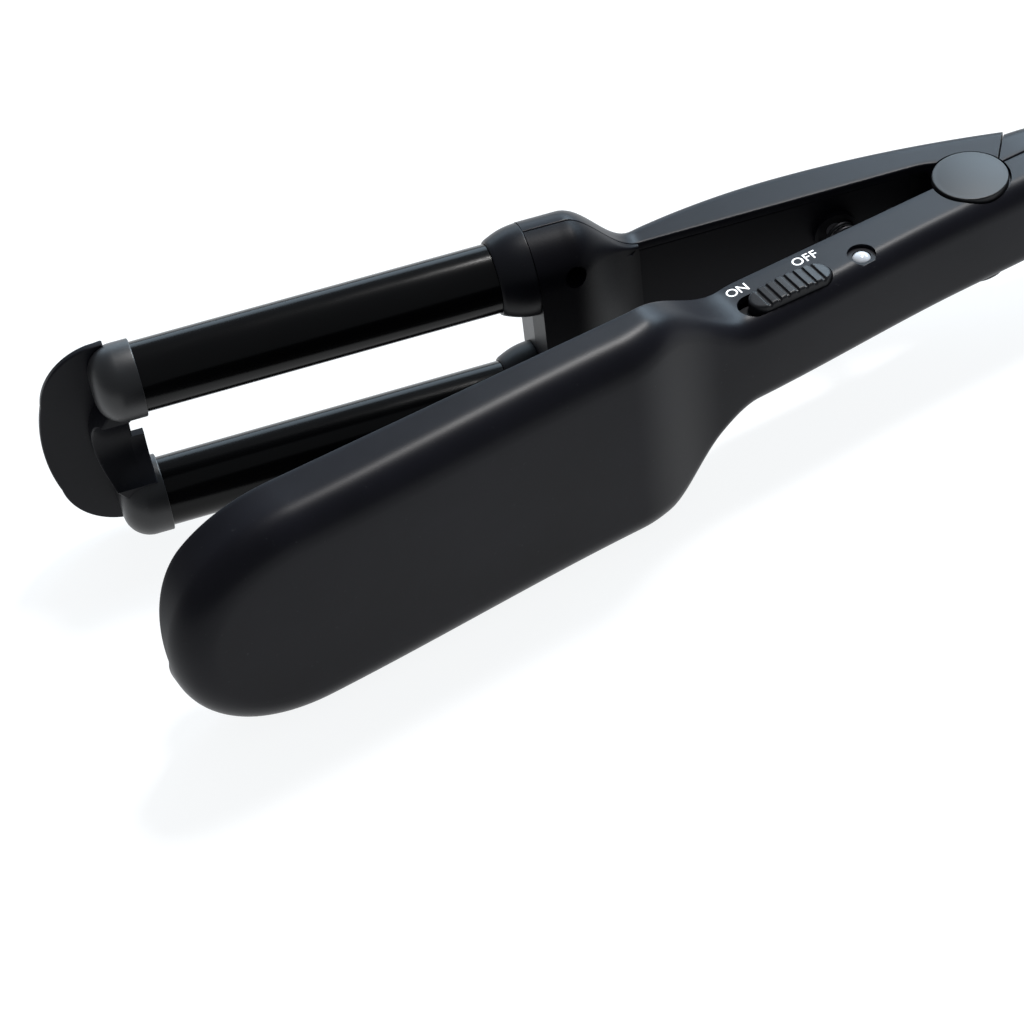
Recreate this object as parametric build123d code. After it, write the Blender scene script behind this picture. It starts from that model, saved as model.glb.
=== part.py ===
from build123d import *
import math
import os

# Hair waver with three barrels, lying on its side. Lengths in millimetres, angles in degrees.
# Every piece is modelled with the hinge axis at x = 0, y = 0 and both arms closed, barrels
# parallel to X: the tip is at -X, the tail at +X, the near arm at -Y and the far arm at +Y.
# "Reach" and "at" values are distances from the hinge axis towards the tip, and "depth" values
# of the near arm are distances from the closing plane y = 0 towards -Y. write() opens the far
# arm and moves the origin to the mouth of the cord's inlet.

# ---- overall ----
jaw_opening = 13.2            # angle between the arms at rest
tip_reach = 244.4             # paddle's tip
inlet_reach = 62.0            # hinge axis to the mouth of the cord's inlet, towards the tail
shell_wall = 2.2
cover_thickness = 2.0
cover_gap = 0.15              # round a cover that is let into a shell
parting_gap = 0.1             # between two shells that meet edge to edge
running_gap = 0.4             # between parts that turn past each other
fit_gap = 0.05                # radial clearance of a fit
axial_gap = 0.2               # end play of parts that turn

# ---- barrels ----
barrel_radius = 9.0
barrel_wall = 1.2
barrel_pitch = 39.24          # between the far arm's two barrel axes
barrel_offset = 4.7           # barrel axes from the closing plane, in both arms
barrel_tip_joint = 219.8      # joint of barrel and end cap
holder_face = 118.4           # the holder's face, where the noses are seated
barrel_socket = 5.5           # length of barrel inside the holder
cap_grip = 6.0                # length of barrel inside an end cap
nose_length = 9.2
nose_radius = 12.0
nose_lip = 0.6                # nose wall at its thin front lip
nose_bulge = 0.55             # how far the nose's outline bows out of a straight cone
end_cap_radius = 10.0
end_cap_length = 11.7         # from the barrel joint to the crown of the dome
end_cap_round = 7.0

# ---- heaters, one in each barrel ----
carrier_end_gap = 1.0         # from the carrier to the middle barrel's spigots
carrier_half_thickness = 3.4
heater_margin = 3.0           # how far the carrier outreaches the heater at each end
heater_width = 9.0
heater_thickness = 2.2

# ---- middle barrel, on the near arm ----
middle_joint = 127.8          # joint of middle barrel and its nose
middle_nose_end = 119.6
middle_plug_radius = 9.2
middle_spigot = 5.0
pedestal_half_width = 5.0
channel_half_width = 12.6
channel_floor = 17.0          # depth of the channel's floor
channel_corner = 5.0
channel_wall = 1.6
channel_end_gap = 1.0         # from the middle nose and cap to the channel's end walls

# ---- near arm ----
paddle_drop = 0.42            # how much lower than the holder the paddle is
handle_half_height = 13.5
paddle_rim = 9.3              # depth of the paddle's inner edge
handle_rim = -2.3             # depth of the handle's inner edge
paddle_depth_neck = 24.0      # depth of the paddle's outer face
paddle_depth_tip = 27.4
handle_depth_hinge = 13.2     # depth of the handle's outer face
handle_depth_neck = 16.0
paddle_corner = 8.8           # rounding of the outer edges
handle_corner = 4.5
rim_corner = 0.7
neck_start = 76.0             # the neck, where the arm widens
neck_end = 108.0
neck_rim_start = 72.0
neck_rim_end = 110.0
neck_depth_start = 88.0
neck_depth_end = 117.0
tip_round_start = 207.8
tip_power = 2.14              # squareness of the tip's outline
tip_rim_start = 232.6         # where the inner edge begins to sweep outwards to the tip
tip_rim_sweep = 12.0

# ---- tail ----
inlet_stand_out = 6.0         # how far the cord's inlet stands out of the tail
tail_half_width_end = 9.8
tail_half_height_end = 10.2
tail_corner_end = 7.0
tail_seam_inner = (10.6, 2.3)     # seam of far arm and tail cover at rest, x and y
tail_seam_outer = (16.9, 9.1)
tail_seam_gap = 0.4
tail_end_wall = 3.0
swivel_neck_radius = 6.5
swivel_flange_radius = 8.0
swivel_flange_length = 2.4
swivel_bore_radius = 3.2

# ---- far arm ----
handle_inner = 9.8                # inner face of the far handle
rear_inner = 4.0                  # inner edge of the far arm beside the hinge
far_neck_front = 107.5
far_neck_rear = 87.0
far_rear_end = 17.5               # where the far arm would end if its seam didn't cut it
holder_back = 16.7                # outer face of the holder
back_crest = 23.3                 # outer face of the handle at its fullest
back_crest_at = 46.0
back_fall_hinge = 6.3             # how far the outer face falls from the crest over a run
back_run_hinge = 61.0
back_fall_neck = 5.2
back_run_neck = 42.5
holder_corner = 11.6
clamp_front_low = 8.6             # front face of the clamp cover at its rear end
clamp_rear = 87.6
clamp_slope_start = 86.0
clamp_slope_end = 110.0
clamp_screw_at = 108.8
clamp_screw_height = 22.3
clamp_recess_radius = 2.9
clamp_recess_floor = 1.0
clamp_boss_wall = 1.3

# ---- tip of the far arm ----
guard_plane = 9.0                 # front of the guard plate
guard_thickness = 2.0
guard_half_height = 28.9
guard_tip = 246.7
guard_shoulder = 230.0            # where the guard's straight edges end
guard_corner = (239.5, 24.3)      # middle of the corner's arc, along and up
guard_corner_end = (244.6, 14.2)
guard_root = 226.0
bridge_rear = 224.3
bridge_front = 234.6
bridge_front_side = 232.4
bridge_half_height = 16.0
bridge_lowest = -1.0              # y of the bridge's edge nearest the near arm
saddle_radius = 11.5              # round the middle barrel's axis
tab_rear = 221.2
tab_top = -0.6
tab_bottom = -13.5
guard_screw_at = 229.5
guard_screw_height = 5.0

# ---- hinge ----
hinge_cap_radius = 9.95
hinge_cap_height = 2.3
hinge_cap_edge = 0.8
hinge_cap_stem = 1.9
hinge_recess_depth = 1.4
hinge_recess_gap = 0.3
hinge_pin_radius = 3.0
drum_radius = 9.3
drum_half_height = 6.0
drum_web_half_width = 6.0
ear_radius = 8.8
ear_arm_half_width = 6.0
ear_clearance = 0.3               # between an ear and the near arm's top wall

# ---- jaw spring, between the handles ----
spring_at = 31.0
far_seat_at = 34.0
spring_radius = 4.0
spring_wire_radius = 0.5
spring_turns = 6
spring_length = 12.6
seat_outer_radius = 6.0
seat_inner_radius = 5.0
seat_height = 1.6

# ---- switch ----
knob_at = 61.7
knob_depth = 8.2                  # depth of its middle line
knob_length = 23.7
knob_width = 7.6
knob_proud = 1.8
knob_groove_count = 7
knob_groove_pitch = 2.7
knob_groove_width = 1.2
knob_groove_depth = 0.6
knob_edge = 0.5
switch_travel = 3.0
slot_gap = 0.3
flange_thickness = 1.2
flange_gap = 0.3                  # from the flange to the handle's top wall
flange_half_width = 2.2
flange_margin = 4.4               # how far the flange outreaches the knob at each end
neck_half_width = 1.5
stem_radius = 1.2
stem_length = 4.2
switch_body_length = 18.0
switch_body_outer = 12.0          # depth of its outer face
switch_body_height = 5.0
switch_body_drop = 1.4            # from the knob's flange to the body's top

# ---- lamp ----
lamp_at = 39.9
lamp_depth = 8.1
lamp_recess_radius = 3.7
lamp_recess_depth = 1.0
lens_radius = 2.4
lens_flange_radius = 2.9
lens_flange_thickness = 1.0
lens_crown = 0.3                  # how far the lens stays below the handle's top
lamp_radius = 1.5
lamp_length = 3.2

# ---- circuit board ----
board_rear = 44.0
board_front = 78.0
board_half_height = 6.8
board_depth = 1.6                 # depth of its inner face
board_thickness = 1.2
board_post_radius = 2.0
board_post_margin = 3.0
capacitor_radius = 2.6
capacitor_length = 7.0
capacitor_at = 67.0
chip_at = 56.0
chip_size = (8.0, 1.4, 6.0)
fuse_radius = 1.2
fuse_length = 9.0
fuse_at = 44.0

# ---- screws ----
screw_head_radius = 2.1
screw_head_height = 1.3
screw_shank_radius = 1.0
screw_boss_radius = 2.6
screw_length = 6.0
deck_screws_at = ((114.0, 25.0), (114.0, -25.0), (224.0, 19.0), (224.0, -19.0))
near_handle_screw_at = 20.0
far_handle_screws_at = (34.0, 18.0)  # the first one under the jaw spring
tail_screw_at = 36.0            # from the hinge axis towards the tail
tail_screw_floor = 6.5          # y of the recess's floor

middle_y = -barrel_offset
paddle_half_height = barrel_pitch / 2.0 + nose_radius - paddle_drop
tail_end = inlet_reach - inlet_stand_out
carrier_near_end = middle_joint + middle_spigot + carrier_end_gap
carrier_far_end = barrel_tip_joint - middle_spigot - carrier_end_gap
barrel_height = barrel_pitch / 2.0
barrel_inner_radius = barrel_radius - barrel_wall
recess_floor = handle_half_height - hinge_recess_depth
wall_underside = handle_half_height - shell_wall


def ease(value, start, end):
    """Smooth step from 0 at start to 1 at end."""
    part = min(1.0, max(0.0, (value - start) / (end - start)))
    return part * part * (3.0 - 2.0 * part)


def blend(low, high, part):
    return low + (high - low) * part


def rod(radius, start, end, axis="X", centre=(0.0, 0.0)):
    """Round bar along an axis; centre gives its two other coordinates in X, Y, Z order."""
    bar = Cylinder(radius, end - start)
    middle = (start + end) / 2.0
    if axis == "X":
        return Pos(middle, centre[0], centre[1]) * Rot(0, 90, 0) * bar
    if axis == "Y":
        return Pos(centre[0], middle, centre[1]) * Rot(90, 0, 0) * bar
    return Pos(centre[0], centre[1], middle) * bar


def block(x, y, z):
    """Box between pairs of limits."""
    low, high = zip(*(sorted(pair) for pair in (x, y, z)))
    size = [high[i] - low[i] for i in range(3)]
    centre = [(high[i] + low[i]) / 2.0 for i in range(3)]
    return Pos(*centre) * Box(*size)


def cross_section(x, y_low, y_high, half_height, low_corner, high_corner):
    """Rounded rectangle across an arm at x."""
    middle = (y_low + y_high) / 2.0
    plane = Plane(origin=(x, middle, 0), x_dir=(0, 1, 0), z_dir=(1, 0, 0))
    face = plane * Rectangle(y_high - y_low, 2.0 * half_height)
    low_points = face.vertices().filter_by(lambda point: point.Y < middle)
    face = fillet(low_points, low_corner)
    high_points = face.vertices().filter_by(lambda point: point.Y > y_high - 1e-4)
    return fillet(high_points, high_corner)


def joined(shapes):
    whole = shapes[0]
    for shape in shapes[1:]:
        whole = whole + shape
    return whole


def screw(direction, head_face, along, height, length=screw_length):
    """Pan-head screw along Y; direction is the way its shank points, +1 or -1."""
    head_end = head_face + direction * screw_head_height
    tip = head_end + direction * length
    head = rod(screw_head_radius, min(head_face, head_end), max(head_face, head_end), "Y", (-along, height))
    cross = block((-along - 1.3, -along + 1.3), (head_face - 0.7, head_face + 0.7), (height - 0.3, height + 0.3))
    cross += block((-along - 0.3, -along + 0.3), (head_face - 0.7, head_face + 0.7), (height - 1.3, height + 1.3))
    shank = rod(screw_shank_radius, min(head_end, tip), max(head_end, tip), "Y", (-along, height))
    return head - cross + shank


def seam_side(offset):
    """Half space on the tail's side of the rear seam, at rest; offset moves its face tailwards."""
    run = tail_seam_outer[0] - tail_seam_inner[0]
    rise = tail_seam_outer[1] - tail_seam_inner[1]
    angle = math.degrees(math.atan2(rise, run)) - 90.0
    reach = 80.0
    return Pos(*tail_seam_inner, 0) * Rot(0, 0, angle) * Pos(offset + reach, 0, 0) * Box(2 * reach, 160, 80)


def closed(shape):
    """Turn a shape that was placed beside the open far arm into the closed arm's frame."""
    return Rot(0, 0, jaw_opening) * shape


# ---------------------------------------------------------------- near arm

def near_half_height(s):
    """Half height of the near arm at distance s from the hinge, before the tip's rounding."""
    height = blend(handle_half_height, paddle_half_height, ease(s, neck_start, neck_end))
    return blend(tail_half_height_end, height, ease(s, -tail_end, -14.0))


def near_depth(s):
    """Depth of the near arm's outer face."""
    handle = blend(handle_depth_hinge, handle_depth_neck, ease(s, 10.0, 80.0))
    paddle = blend(paddle_depth_neck, paddle_depth_tip, ease(s, neck_depth_end, 2 * tip_round_start - 200.0))
    depth = blend(handle, paddle, ease(s, neck_depth_start, neck_depth_end))
    return blend(tail_half_width_end, depth, ease(s, -tail_end, -8.0))


def near_rim(s):
    """Depth of the near arm's inner edge; the tail's edge is on the closing plane."""
    handle = handle_rim * ease(s, -8.0, 6.0)
    rim = blend(handle, paddle_rim, ease(s, neck_rim_start, neck_rim_end))
    part = min(1.0, max(0.0, (s - tip_rim_start) / (tip_reach - tip_rim_start)))
    return rim + tip_rim_sweep * (1.0 - math.sqrt(1.0 - part ** 2))


def near_corner(s):
    """Rounding of the near arm's outer edges."""
    corner = blend(handle_corner, paddle_corner, ease(s, neck_depth_start, neck_depth_end))
    return blend(tail_corner_end, corner, ease(s, -tail_end, -8.0))


def tip_share(s, start, inset):
    """Share of the full size that is left at s on the way to the rounded tip."""
    part = max(0.0, (s - start) / (tip_reach - inset - start))
    return max(0.0, 1.0 - part ** tip_power) ** (1.0 / tip_power)


def near_stations(first, inset):
    """Distances from the hinge of the near arm's cross-sections, from first to the tip."""
    neck_step = (neck_end + 10.0 - neck_start) / 11.0
    plain = [-50.0, -44.0, -38.0, -31.0, -24.0, -16.0, -8.0, -2.0, 4.0, 12.0, 24.0, 38.0, 52.0, 64.0]
    neck = [neck_start - 4.0 + neck_step * step for step in range(12)]
    paddle = [130.0, 150.0, 172.0, tip_round_start - 4.0]
    reach = tip_reach - inset - tip_round_start
    tip = [tip_round_start + reach * share for share in (0.2, 0.4, 0.57, 0.7, 0.8, 0.88, 0.94, 0.98, 0.996)]
    return [first] + [s for s in plain + neck + paddle + tip if s > first + 3.0]


def near_form(first, inset, inner_margin=0.0):
    """Outer form of the near arm from first to the tip, made smaller by inset."""
    faces = []
    for s in near_stations(first, inset):
        half_height = near_half_height(s) * tip_share(s, tip_round_start, inset) - inset
        rim = near_rim(s)
        depth = near_depth(s) - inset
        room = depth - rim + inner_margin - rim_corner - 0.2
        corner = min(near_corner(s) - 0.6 * inset, room, 0.8 * half_height)
        faces.append(cross_section(-s, -depth, -rim + inner_margin, half_height, corner, rim_corner))
    return loft(faces, ruled=True)


def deck_bosses():
    """Screw posts that stand on the paddle's outer wall and carry the inner cover."""
    posts = [(along, height) for along, height in deck_screws_at] + [(near_handle_screw_at, 0.0)]
    shape = None
    for along, height in posts:
        foot = -near_depth(along) + shell_wall / 2.0
        top = -near_rim(along) - cover_thickness - fit_gap
        post = rod(screw_boss_radius, foot, top, "Y", (-along, height))
        post -= rod(screw_shank_radius + fit_gap, top - screw_length, top, "Y", (-along, height))
        shape = post if shape is None else shape + post
    return shape


def board_posts():
    shape = None
    for along in (board_rear + board_post_margin, board_front - board_post_margin):
        foot = -near_depth(along) + shell_wall / 2.0
        post = rod(board_post_radius, foot, -board_depth - board_thickness, "Y", (-along, 0.0))
        shape = post if shape is None else shape + post
    return shape


def hinge_recess(floor):
    """Round recess for a hinge cap in the top and in the bottom wall."""
    radius = hinge_cap_radius + hinge_recess_gap
    top = rod(radius, floor, handle_half_height + 5.0, "Z")
    bottom = rod(radius, -handle_half_height - 5.0, -floor, "Z")
    return top + bottom


def pivot_drum():
    """Round block between the far arm's ears, joined to the near arm's outer wall."""
    drum = rod(drum_radius, -drum_half_height, drum_half_height, "Z")
    outer = near_depth(0.0) - shell_wall / 2.0
    web = block((-drum_web_half_width, drum_web_half_width), (-outer, 0), (-drum_half_height, drum_half_height))
    bore = rod(hinge_pin_radius + fit_gap / 2.0, -drum_half_height, drum_half_height, "Z")
    return drum + web - bore


def knob_slot():
    length = knob_length + switch_travel + 2 * slot_gap
    centre = -(knob_at + switch_travel / 2.0)
    outline = Pos(centre, -knob_depth, 0) * SlotOverall(length, knob_width + 2 * slot_gap)
    return extrude(Pos(0, 0, wall_underside - 1.0) * outline, 20.0)


def lamp_hole():
    top = near_half_height(lamp_at)
    recess = rod(lamp_recess_radius, top - lamp_recess_depth, top + 1.0, "Z", (-lamp_at, -lamp_depth))
    hole = rod(lens_radius + fit_gap, wall_underside - 1.0, top, "Z", (-lamp_at, -lamp_depth))
    return recess + hole


def near_outer_shell():
    form = near_form(-tail_end, 0.0)
    cavity = near_form(-tail_end + tail_end_wall, shell_wall, 5.0)
    shell = form - cavity
    fittings = deck_bosses() + board_posts() + pivot_drum() + tail_post()
    shell += fittings
    shell -= hinge_recess(recess_floor)
    shell -= rod(hinge_cap_stem + fit_gap, -20, 20, "Z")
    shell -= rod(hinge_pin_radius + fit_gap / 2.0, -drum_half_height, drum_half_height, "Z")
    shell -= knob_slot()
    shell -= lamp_hole()
    shell -= rod(swivel_neck_radius + fit_gap, tail_end - 10, tail_end + 10)
    shell -= swivel_pocket()
    flange = lens_flange_radius + fit_gap
    shell -= rod(flange, wall_underside - lens_flange_thickness - 1.0, wall_underside, "Z", (-lamp_at, -lamp_depth))
    return shell


def swivel_pocket():
    radius = swivel_flange_radius + fit_gap
    inner_face = tail_end - tail_end_wall
    return rod(radius, inner_face - swivel_flange_length - 2 * axial_gap, inner_face)


def channel(grow, floor_extra):
    """Trough round the middle barrel, open towards the far arm."""
    start = middle_nose_end - channel_end_gap - grow
    end = barrel_tip_joint + end_cap_length + channel_end_gap + grow
    floor = channel_floor + floor_extra
    half_width = channel_half_width + grow
    trough = block((-end, -start), (-floor, -paddle_rim + 6.0), (-half_width, half_width))
    low_edges = trough.edges().filter_by(Axis.X).filter_by(lambda edge: edge.center().Y < -floor + 0.1)
    return fillet(low_edges, channel_corner + grow)


def spring_seat_near():
    face = -handle_rim
    ring = rod(seat_outer_radius, face - 0.5, face + seat_height, "Y", (-spring_at, 0))
    return ring - rod(seat_inner_radius, face, face + seat_height + 1, "Y", (-spring_at, 0))


def near_inner_cover():
    """Plate let into the inner side of the near arm, with the middle barrel's trough."""
    first = ear_radius + 1.4
    stations = [first, 30.0, 55.0] + [neck_rim_start + 4.0 * step for step in range(11)] + [118.0, 140.0, 200.0, 224.0, 228.0, 232.0, 235.0, 238.0, 240.5]
    outer_line = Spline(*[(-s, -near_rim(s)) for s in stations])
    inner_line = Spline(*[(-s, -near_rim(s) - cover_thickness) for s in stations])
    ends = Line(outer_line @ 0, inner_line @ 0) + Line(outer_line @ 1, inner_line @ 1)
    profile = make_face(outer_line + inner_line + ends)
    plate = Pos(0, 0, -40) * extrude(profile, 80, dir=(0, 0, 1))
    form = near_form(first, shell_wall + cover_gap, 5.0)
    outside = channel(channel_wall, channel_wall)
    outside -= block((-400, 100), (-paddle_rim - 0.5, 20), (-50, 50))
    cover = (plate & form) + outside - channel(0.0, 0.0)
    cover += spring_seat_near()
    for along, height in list(deck_screws_at) + [(near_handle_screw_at, 0.0)]:
        face = -near_rim(along)
        cover -= rod(screw_shank_radius + fit_gap, face - 6, face + 3, "Y", (-along, height))
        cover -= rod(screw_head_radius + fit_gap, face - screw_head_height - fit_gap, face + 3, "Y", (-along, height))
    return cover


def near_cover_screws():
    shapes = []
    for along, height in list(deck_screws_at) + [(near_handle_screw_at, 0.0)]:
        shapes.append(screw(-1, -near_rim(along), along, height, screw_length - 1.0))
    return joined(shapes)


def middle_barrel():
    tube = rod(barrel_radius, -barrel_tip_joint, -middle_joint, "X", (middle_y, 0))
    return tube - rod(barrel_inner_radius, -barrel_tip_joint, -middle_joint, "X", (middle_y, 0))


def pedestal(start, end):
    """Foot of the middle barrel's nose or cap, standing on the channel's floor."""
    return block((-end, -start), (-channel_floor, middle_y), (-pedestal_half_width, pedestal_half_width))


def middle_nose():
    plug = rod(middle_plug_radius, -middle_joint, -middle_nose_end, "X", (middle_y, 0))
    plug = fillet(plug.edges().filter_by(lambda edge: edge.center().X > -middle_nose_end - 0.1), 1.5)
    plug += pedestal(middle_nose_end + 1.6, middle_joint)
    spigot = rod(barrel_inner_radius - fit_gap, -middle_joint - middle_spigot, -middle_joint, "X", (middle_y, 0))
    return plug + spigot


def middle_end_cap():
    end = barrel_tip_joint + end_cap_length
    plug = rod(middle_plug_radius, -end, -barrel_tip_joint, "X", (middle_y, 0))
    plug = fillet(plug.edges().filter_by(lambda edge: edge.center().X < -end + 0.1), end_cap_round)
    plug += pedestal(barrel_tip_joint, end - end_cap_round)
    spigot = rod(barrel_inner_radius - fit_gap, -barrel_tip_joint, -barrel_tip_joint + middle_spigot, "X", (middle_y, 0))
    return plug + spigot


# ---------------------------------------------------------------- tail

def tail_form(inset, first, inner):
    """Outer form of the tail's inner half, made smaller by inset."""
    faces = []
    last = -2.0
    for step in range(9):
        s = first + (last - first) * step / 8.0
        half_height = near_half_height(s) - inset
        corner = near_corner(s) - 0.6 * inset
        faces.append(cross_section(-s, inner, near_depth(s) - inset, half_height, rim_corner, corner))
    return loft(faces, ruled=True)


def tail_cover():
    """Inner half of the tail, from the seam with the far arm to the end wall."""
    form = tail_form(0.0, -tail_end, parting_gap)
    cavity = tail_form(shell_wall, -tail_end + tail_end_wall, -5.0) & seam_side(tail_seam_gap + shell_wall)
    cover = form - cavity
    centre = (tail_screw_at, 0)
    boss = rod(screw_head_radius + fit_gap + clamp_boss_wall, tail_screw_floor - 1.6, 13.5, "Y", centre)
    boss += rod(screw_boss_radius, parting_gap, tail_screw_floor, "Y", centre)
    cover += boss & form
    cover -= rod(screw_head_radius + fit_gap, tail_screw_floor, 20, "Y", centre)
    cover -= rod(screw_shank_radius + fit_gap, -1, 20, "Y", centre)
    cover &= seam_side(tail_seam_gap)
    cover -= rod(hinge_cap_radius + hinge_recess_gap, -20, 20, "Z")
    cover -= rod(swivel_neck_radius + fit_gap, tail_end - 10, tail_end + 10)
    cover -= swivel_pocket()
    return cover


def tail_post():
    """Post of the tail screw, on the near shell's outer wall."""
    foot = -near_depth(-tail_screw_at) + shell_wall / 2.0
    post = rod(screw_boss_radius, foot, 0, "Y", (tail_screw_at, 0))
    return post - rod(screw_shank_radius + fit_gap, -screw_length, 0, "Y", (tail_screw_at, 0))


def tail_screw():
    head_face = tail_screw_floor + screw_head_height
    return screw(-1, head_face, -tail_screw_at, 0.0, tail_screw_floor + screw_length - 1.0)


def cord_swivel():
    """Collar that turns in the tail's end; the cord passes through its bore."""
    inner_face = tail_end - tail_end_wall - axial_gap
    collar = rod(swivel_neck_radius, inner_face - 0.1, inlet_reach)
    collar = fillet(collar.edges().filter_by(lambda edge: edge.center().X > inlet_reach - 0.1), 0.8)
    collar += rod(swivel_flange_radius, inner_face - swivel_flange_length, inner_face)
    return collar - rod(swivel_bore_radius, inner_face - swivel_flange_length - 1, inlet_reach + 1)


# ---------------------------------------------------------------- far arm

def far_half_height(s):
    height = blend(handle_half_height, barrel_height + nose_radius, ease(s, far_neck_rear, far_neck_front))
    return height


def far_parting(s):
    """Inner edge of the far outer shell."""
    handle = blend(rear_inner, handle_inner, ease(s, -12.0, 12.0))
    return blend(handle, barrel_offset, ease(s, far_neck_rear, 104.0))


def far_back(s):
    """Outer face of the far arm: two parabolas from the crest, then the holder's flat back."""
    if s < back_crest_at:
        back = back_crest - back_fall_hinge * ((back_crest_at - s) / back_run_hinge) ** 2
    else:
        back = back_crest - back_fall_neck * ((s - back_crest_at) / back_run_neck) ** 2
    return blend(back, holder_back, ease(s, 84.0, 104.0))


def clamp_front(s):
    """Front face of the clamp cover."""
    front = barrel_offset - nose_radius
    return blend(clamp_front_low, front, ease(s, clamp_slope_start, clamp_slope_end))


def far_corner(s):
    return blend(handle_corner, holder_corner, ease(s, far_neck_rear, far_neck_front))


def far_shell_form(first, last, inset, margin):
    stations = [-8.0, 0.0, 10.0, 22.0, 34.0, 46.0, 58.0, 70.0, 80.0]
    stations += [86.0, 89.0, 92.0, 95.0, 98.0, 101.0, 104.0, 107.5, 111.0, 114.0]
    stations = [first] + [s for s in stations if first + 1.5 < s < last - 1.5] + [last]
    faces = []
    for s in stations:
        half_height = far_half_height(s) - inset
        room = far_back(s) - inset - far_parting(s) + margin - rim_corner - 0.2
        corner = min(far_corner(s) - 0.6 * inset, room)
        faces.append(cross_section(-s, far_parting(s) - margin, far_back(s) - inset, half_height, rim_corner, corner))
    return loft(faces, ruled=True)


def barrel_pair(radius, near_end, far_end):
    """Bars on the two far barrel axes, between two distances from the hinge."""
    shapes = [rod(radius, -far_end, -near_end, "X", (barrel_offset, side * barrel_height)) for side in (1, -1)]
    return shapes[0] + shapes[1]


def socket_bores():
    socket_end = holder_face - barrel_socket
    return barrel_pair(barrel_radius + fit_gap, socket_end, holder_face + 1)


def collars():
    """Short sleeves behind the holder's face that grip the barrels' ends."""
    return barrel_pair(barrel_radius + 1.8, holder_face - barrel_socket, holder_face - shell_wall + 0.1)


def clamp_screw_positions():
    return [(clamp_screw_at, side * clamp_screw_height) for side in (1, -1)]


def pivot_ears():
    """Two round ears on arms that reach in from the far shell's outer wall."""
    low = drum_half_height + axial_gap
    high = wall_underside - ear_clearance
    outer = far_back(0.0) - shell_wall / 2.0
    ears = rod(ear_radius, low, high, "Z") + rod(ear_radius, -high, -low, "Z")
    for z in ((low, high), (-high, -low)):
        ears += block((-ear_arm_half_width, ear_arm_half_width), (rear_inner, outer), z)
    return ears - rod(hinge_pin_radius + fit_gap, -20, 20, "Z")


def far_outer_shell():
    form = far_shell_form(-far_rear_end, holder_face, 0.0, 0.0)
    cavity = far_shell_form(-far_rear_end + 0.7, holder_face - shell_wall, shell_wall, 4.0)
    cavity -= closed(seam_side(-shell_wall))
    shell = form - cavity
    bosses = collars() & form
    for along, height in clamp_screw_positions():
        post = rod(screw_boss_radius, barrel_offset, holder_back - 1, "Y", (-along, height))
        bosses += post
    for along in far_handle_screws_at:
        bosses += rod(screw_boss_radius, handle_inner + cover_thickness, far_back(along) - 1, "Y", (-along, 0))
    shell += bosses
    shell -= closed(seam_side(0.0))
    shell += pivot_ears()
    for along, height in clamp_screw_positions():
        shell -= rod(screw_shank_radius + fit_gap, 0, barrel_offset + screw_length, "Y", (-along, height))
    for along in far_handle_screws_at:
        top = handle_inner + cover_thickness
        shell -= rod(screw_shank_radius + fit_gap, top - 1, top + screw_length, "Y", (-along, 0))
    shell -= socket_bores()
    shell -= hinge_recess(recess_floor - axial_gap)
    shell -= rod(drum_radius + running_gap, -drum_half_height - axial_gap, drum_half_height + axial_gap, "Z")
    return shell


def clamp_form(inset, margin):
    front_end = holder_face - inset
    rear_end = clamp_rear + 2.0 * inset
    stations = [s for s in (90.5, 93.5, 96.5, 99.5, 102.5, 105.5, 108.5, 111.0, 114.0) if rear_end + 1 < s < front_end - 1]
    faces = []
    for s in [rear_end] + stations + [front_end]:
        low = clamp_front(s) + inset
        high = far_parting(s) - parting_gap + margin
        corner = min(blend(0.6, holder_corner, ease(s, 90.0, 112.0)), high - low - 0.4)
        faces.append(cross_section(-s, low, high, far_half_height(s) - inset, corner, 0.2))
    return loft(faces, ruled=True)


def clamp_cover():
    """Front half of the holder, screwed to the far outer shell over the barrels' ends."""
    form = clamp_form(0.0, 0.0)
    cover = form - clamp_form(shell_wall, 4.0)
    bosses = collars()
    for along, height in clamp_screw_positions():
        post = rod(clamp_recess_radius + clamp_boss_wall, -9, clamp_recess_floor + 1.6, "Y", (-along, height))
        bosses += post + rod(screw_boss_radius, 0, barrel_offset - parting_gap, "Y", (-along, height))
    cover += bosses & form
    for along, height in clamp_screw_positions():
        cover -= rod(clamp_recess_radius, -12, clamp_recess_floor, "Y", (-along, height))
        cover -= rod(screw_shank_radius + fit_gap, 0, 10, "Y", (-along, height))
    return cover - socket_bores()


def clamp_screws():
    shapes = []
    for along, height in clamp_screw_positions():
        shapes.append(screw(1, clamp_recess_floor - screw_head_height, along, height, screw_length + 3.0))
    return joined(shapes)


def far_handle_cover():
    stations = (12.5, 24.0, 36.0, 48.0, 60.0, 72.0, 80.0, clamp_rear - 2 * cover_gap)
    faces = []
    for s in stations:
        low = far_parting(s)
        faces.append(cross_section(-s, low, low + cover_thickness, handle_half_height - shell_wall - cover_gap, 0.3, 0.3))
    cover = loft(faces, ruled=True)
    ring = rod(seat_outer_radius, handle_inner - seat_height, handle_inner + 0.5, "Y", (-far_seat_at, 0))
    cover += ring - rod(seat_inner_radius, 0, handle_inner, "Y", (-far_seat_at, 0))
    for along in far_handle_screws_at:
        cover -= rod(screw_shank_radius + fit_gap, 0, 20, "Y", (-along, 0))
        cover -= rod(screw_head_radius + fit_gap, 0, handle_inner + screw_head_height + fit_gap, "Y", (-along, 0))
    return cover


def far_cover_screws():
    shapes = [screw(1, handle_inner, along, 0.0, screw_length - 1.0) for along in far_handle_screws_at]
    return joined(shapes)


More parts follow.
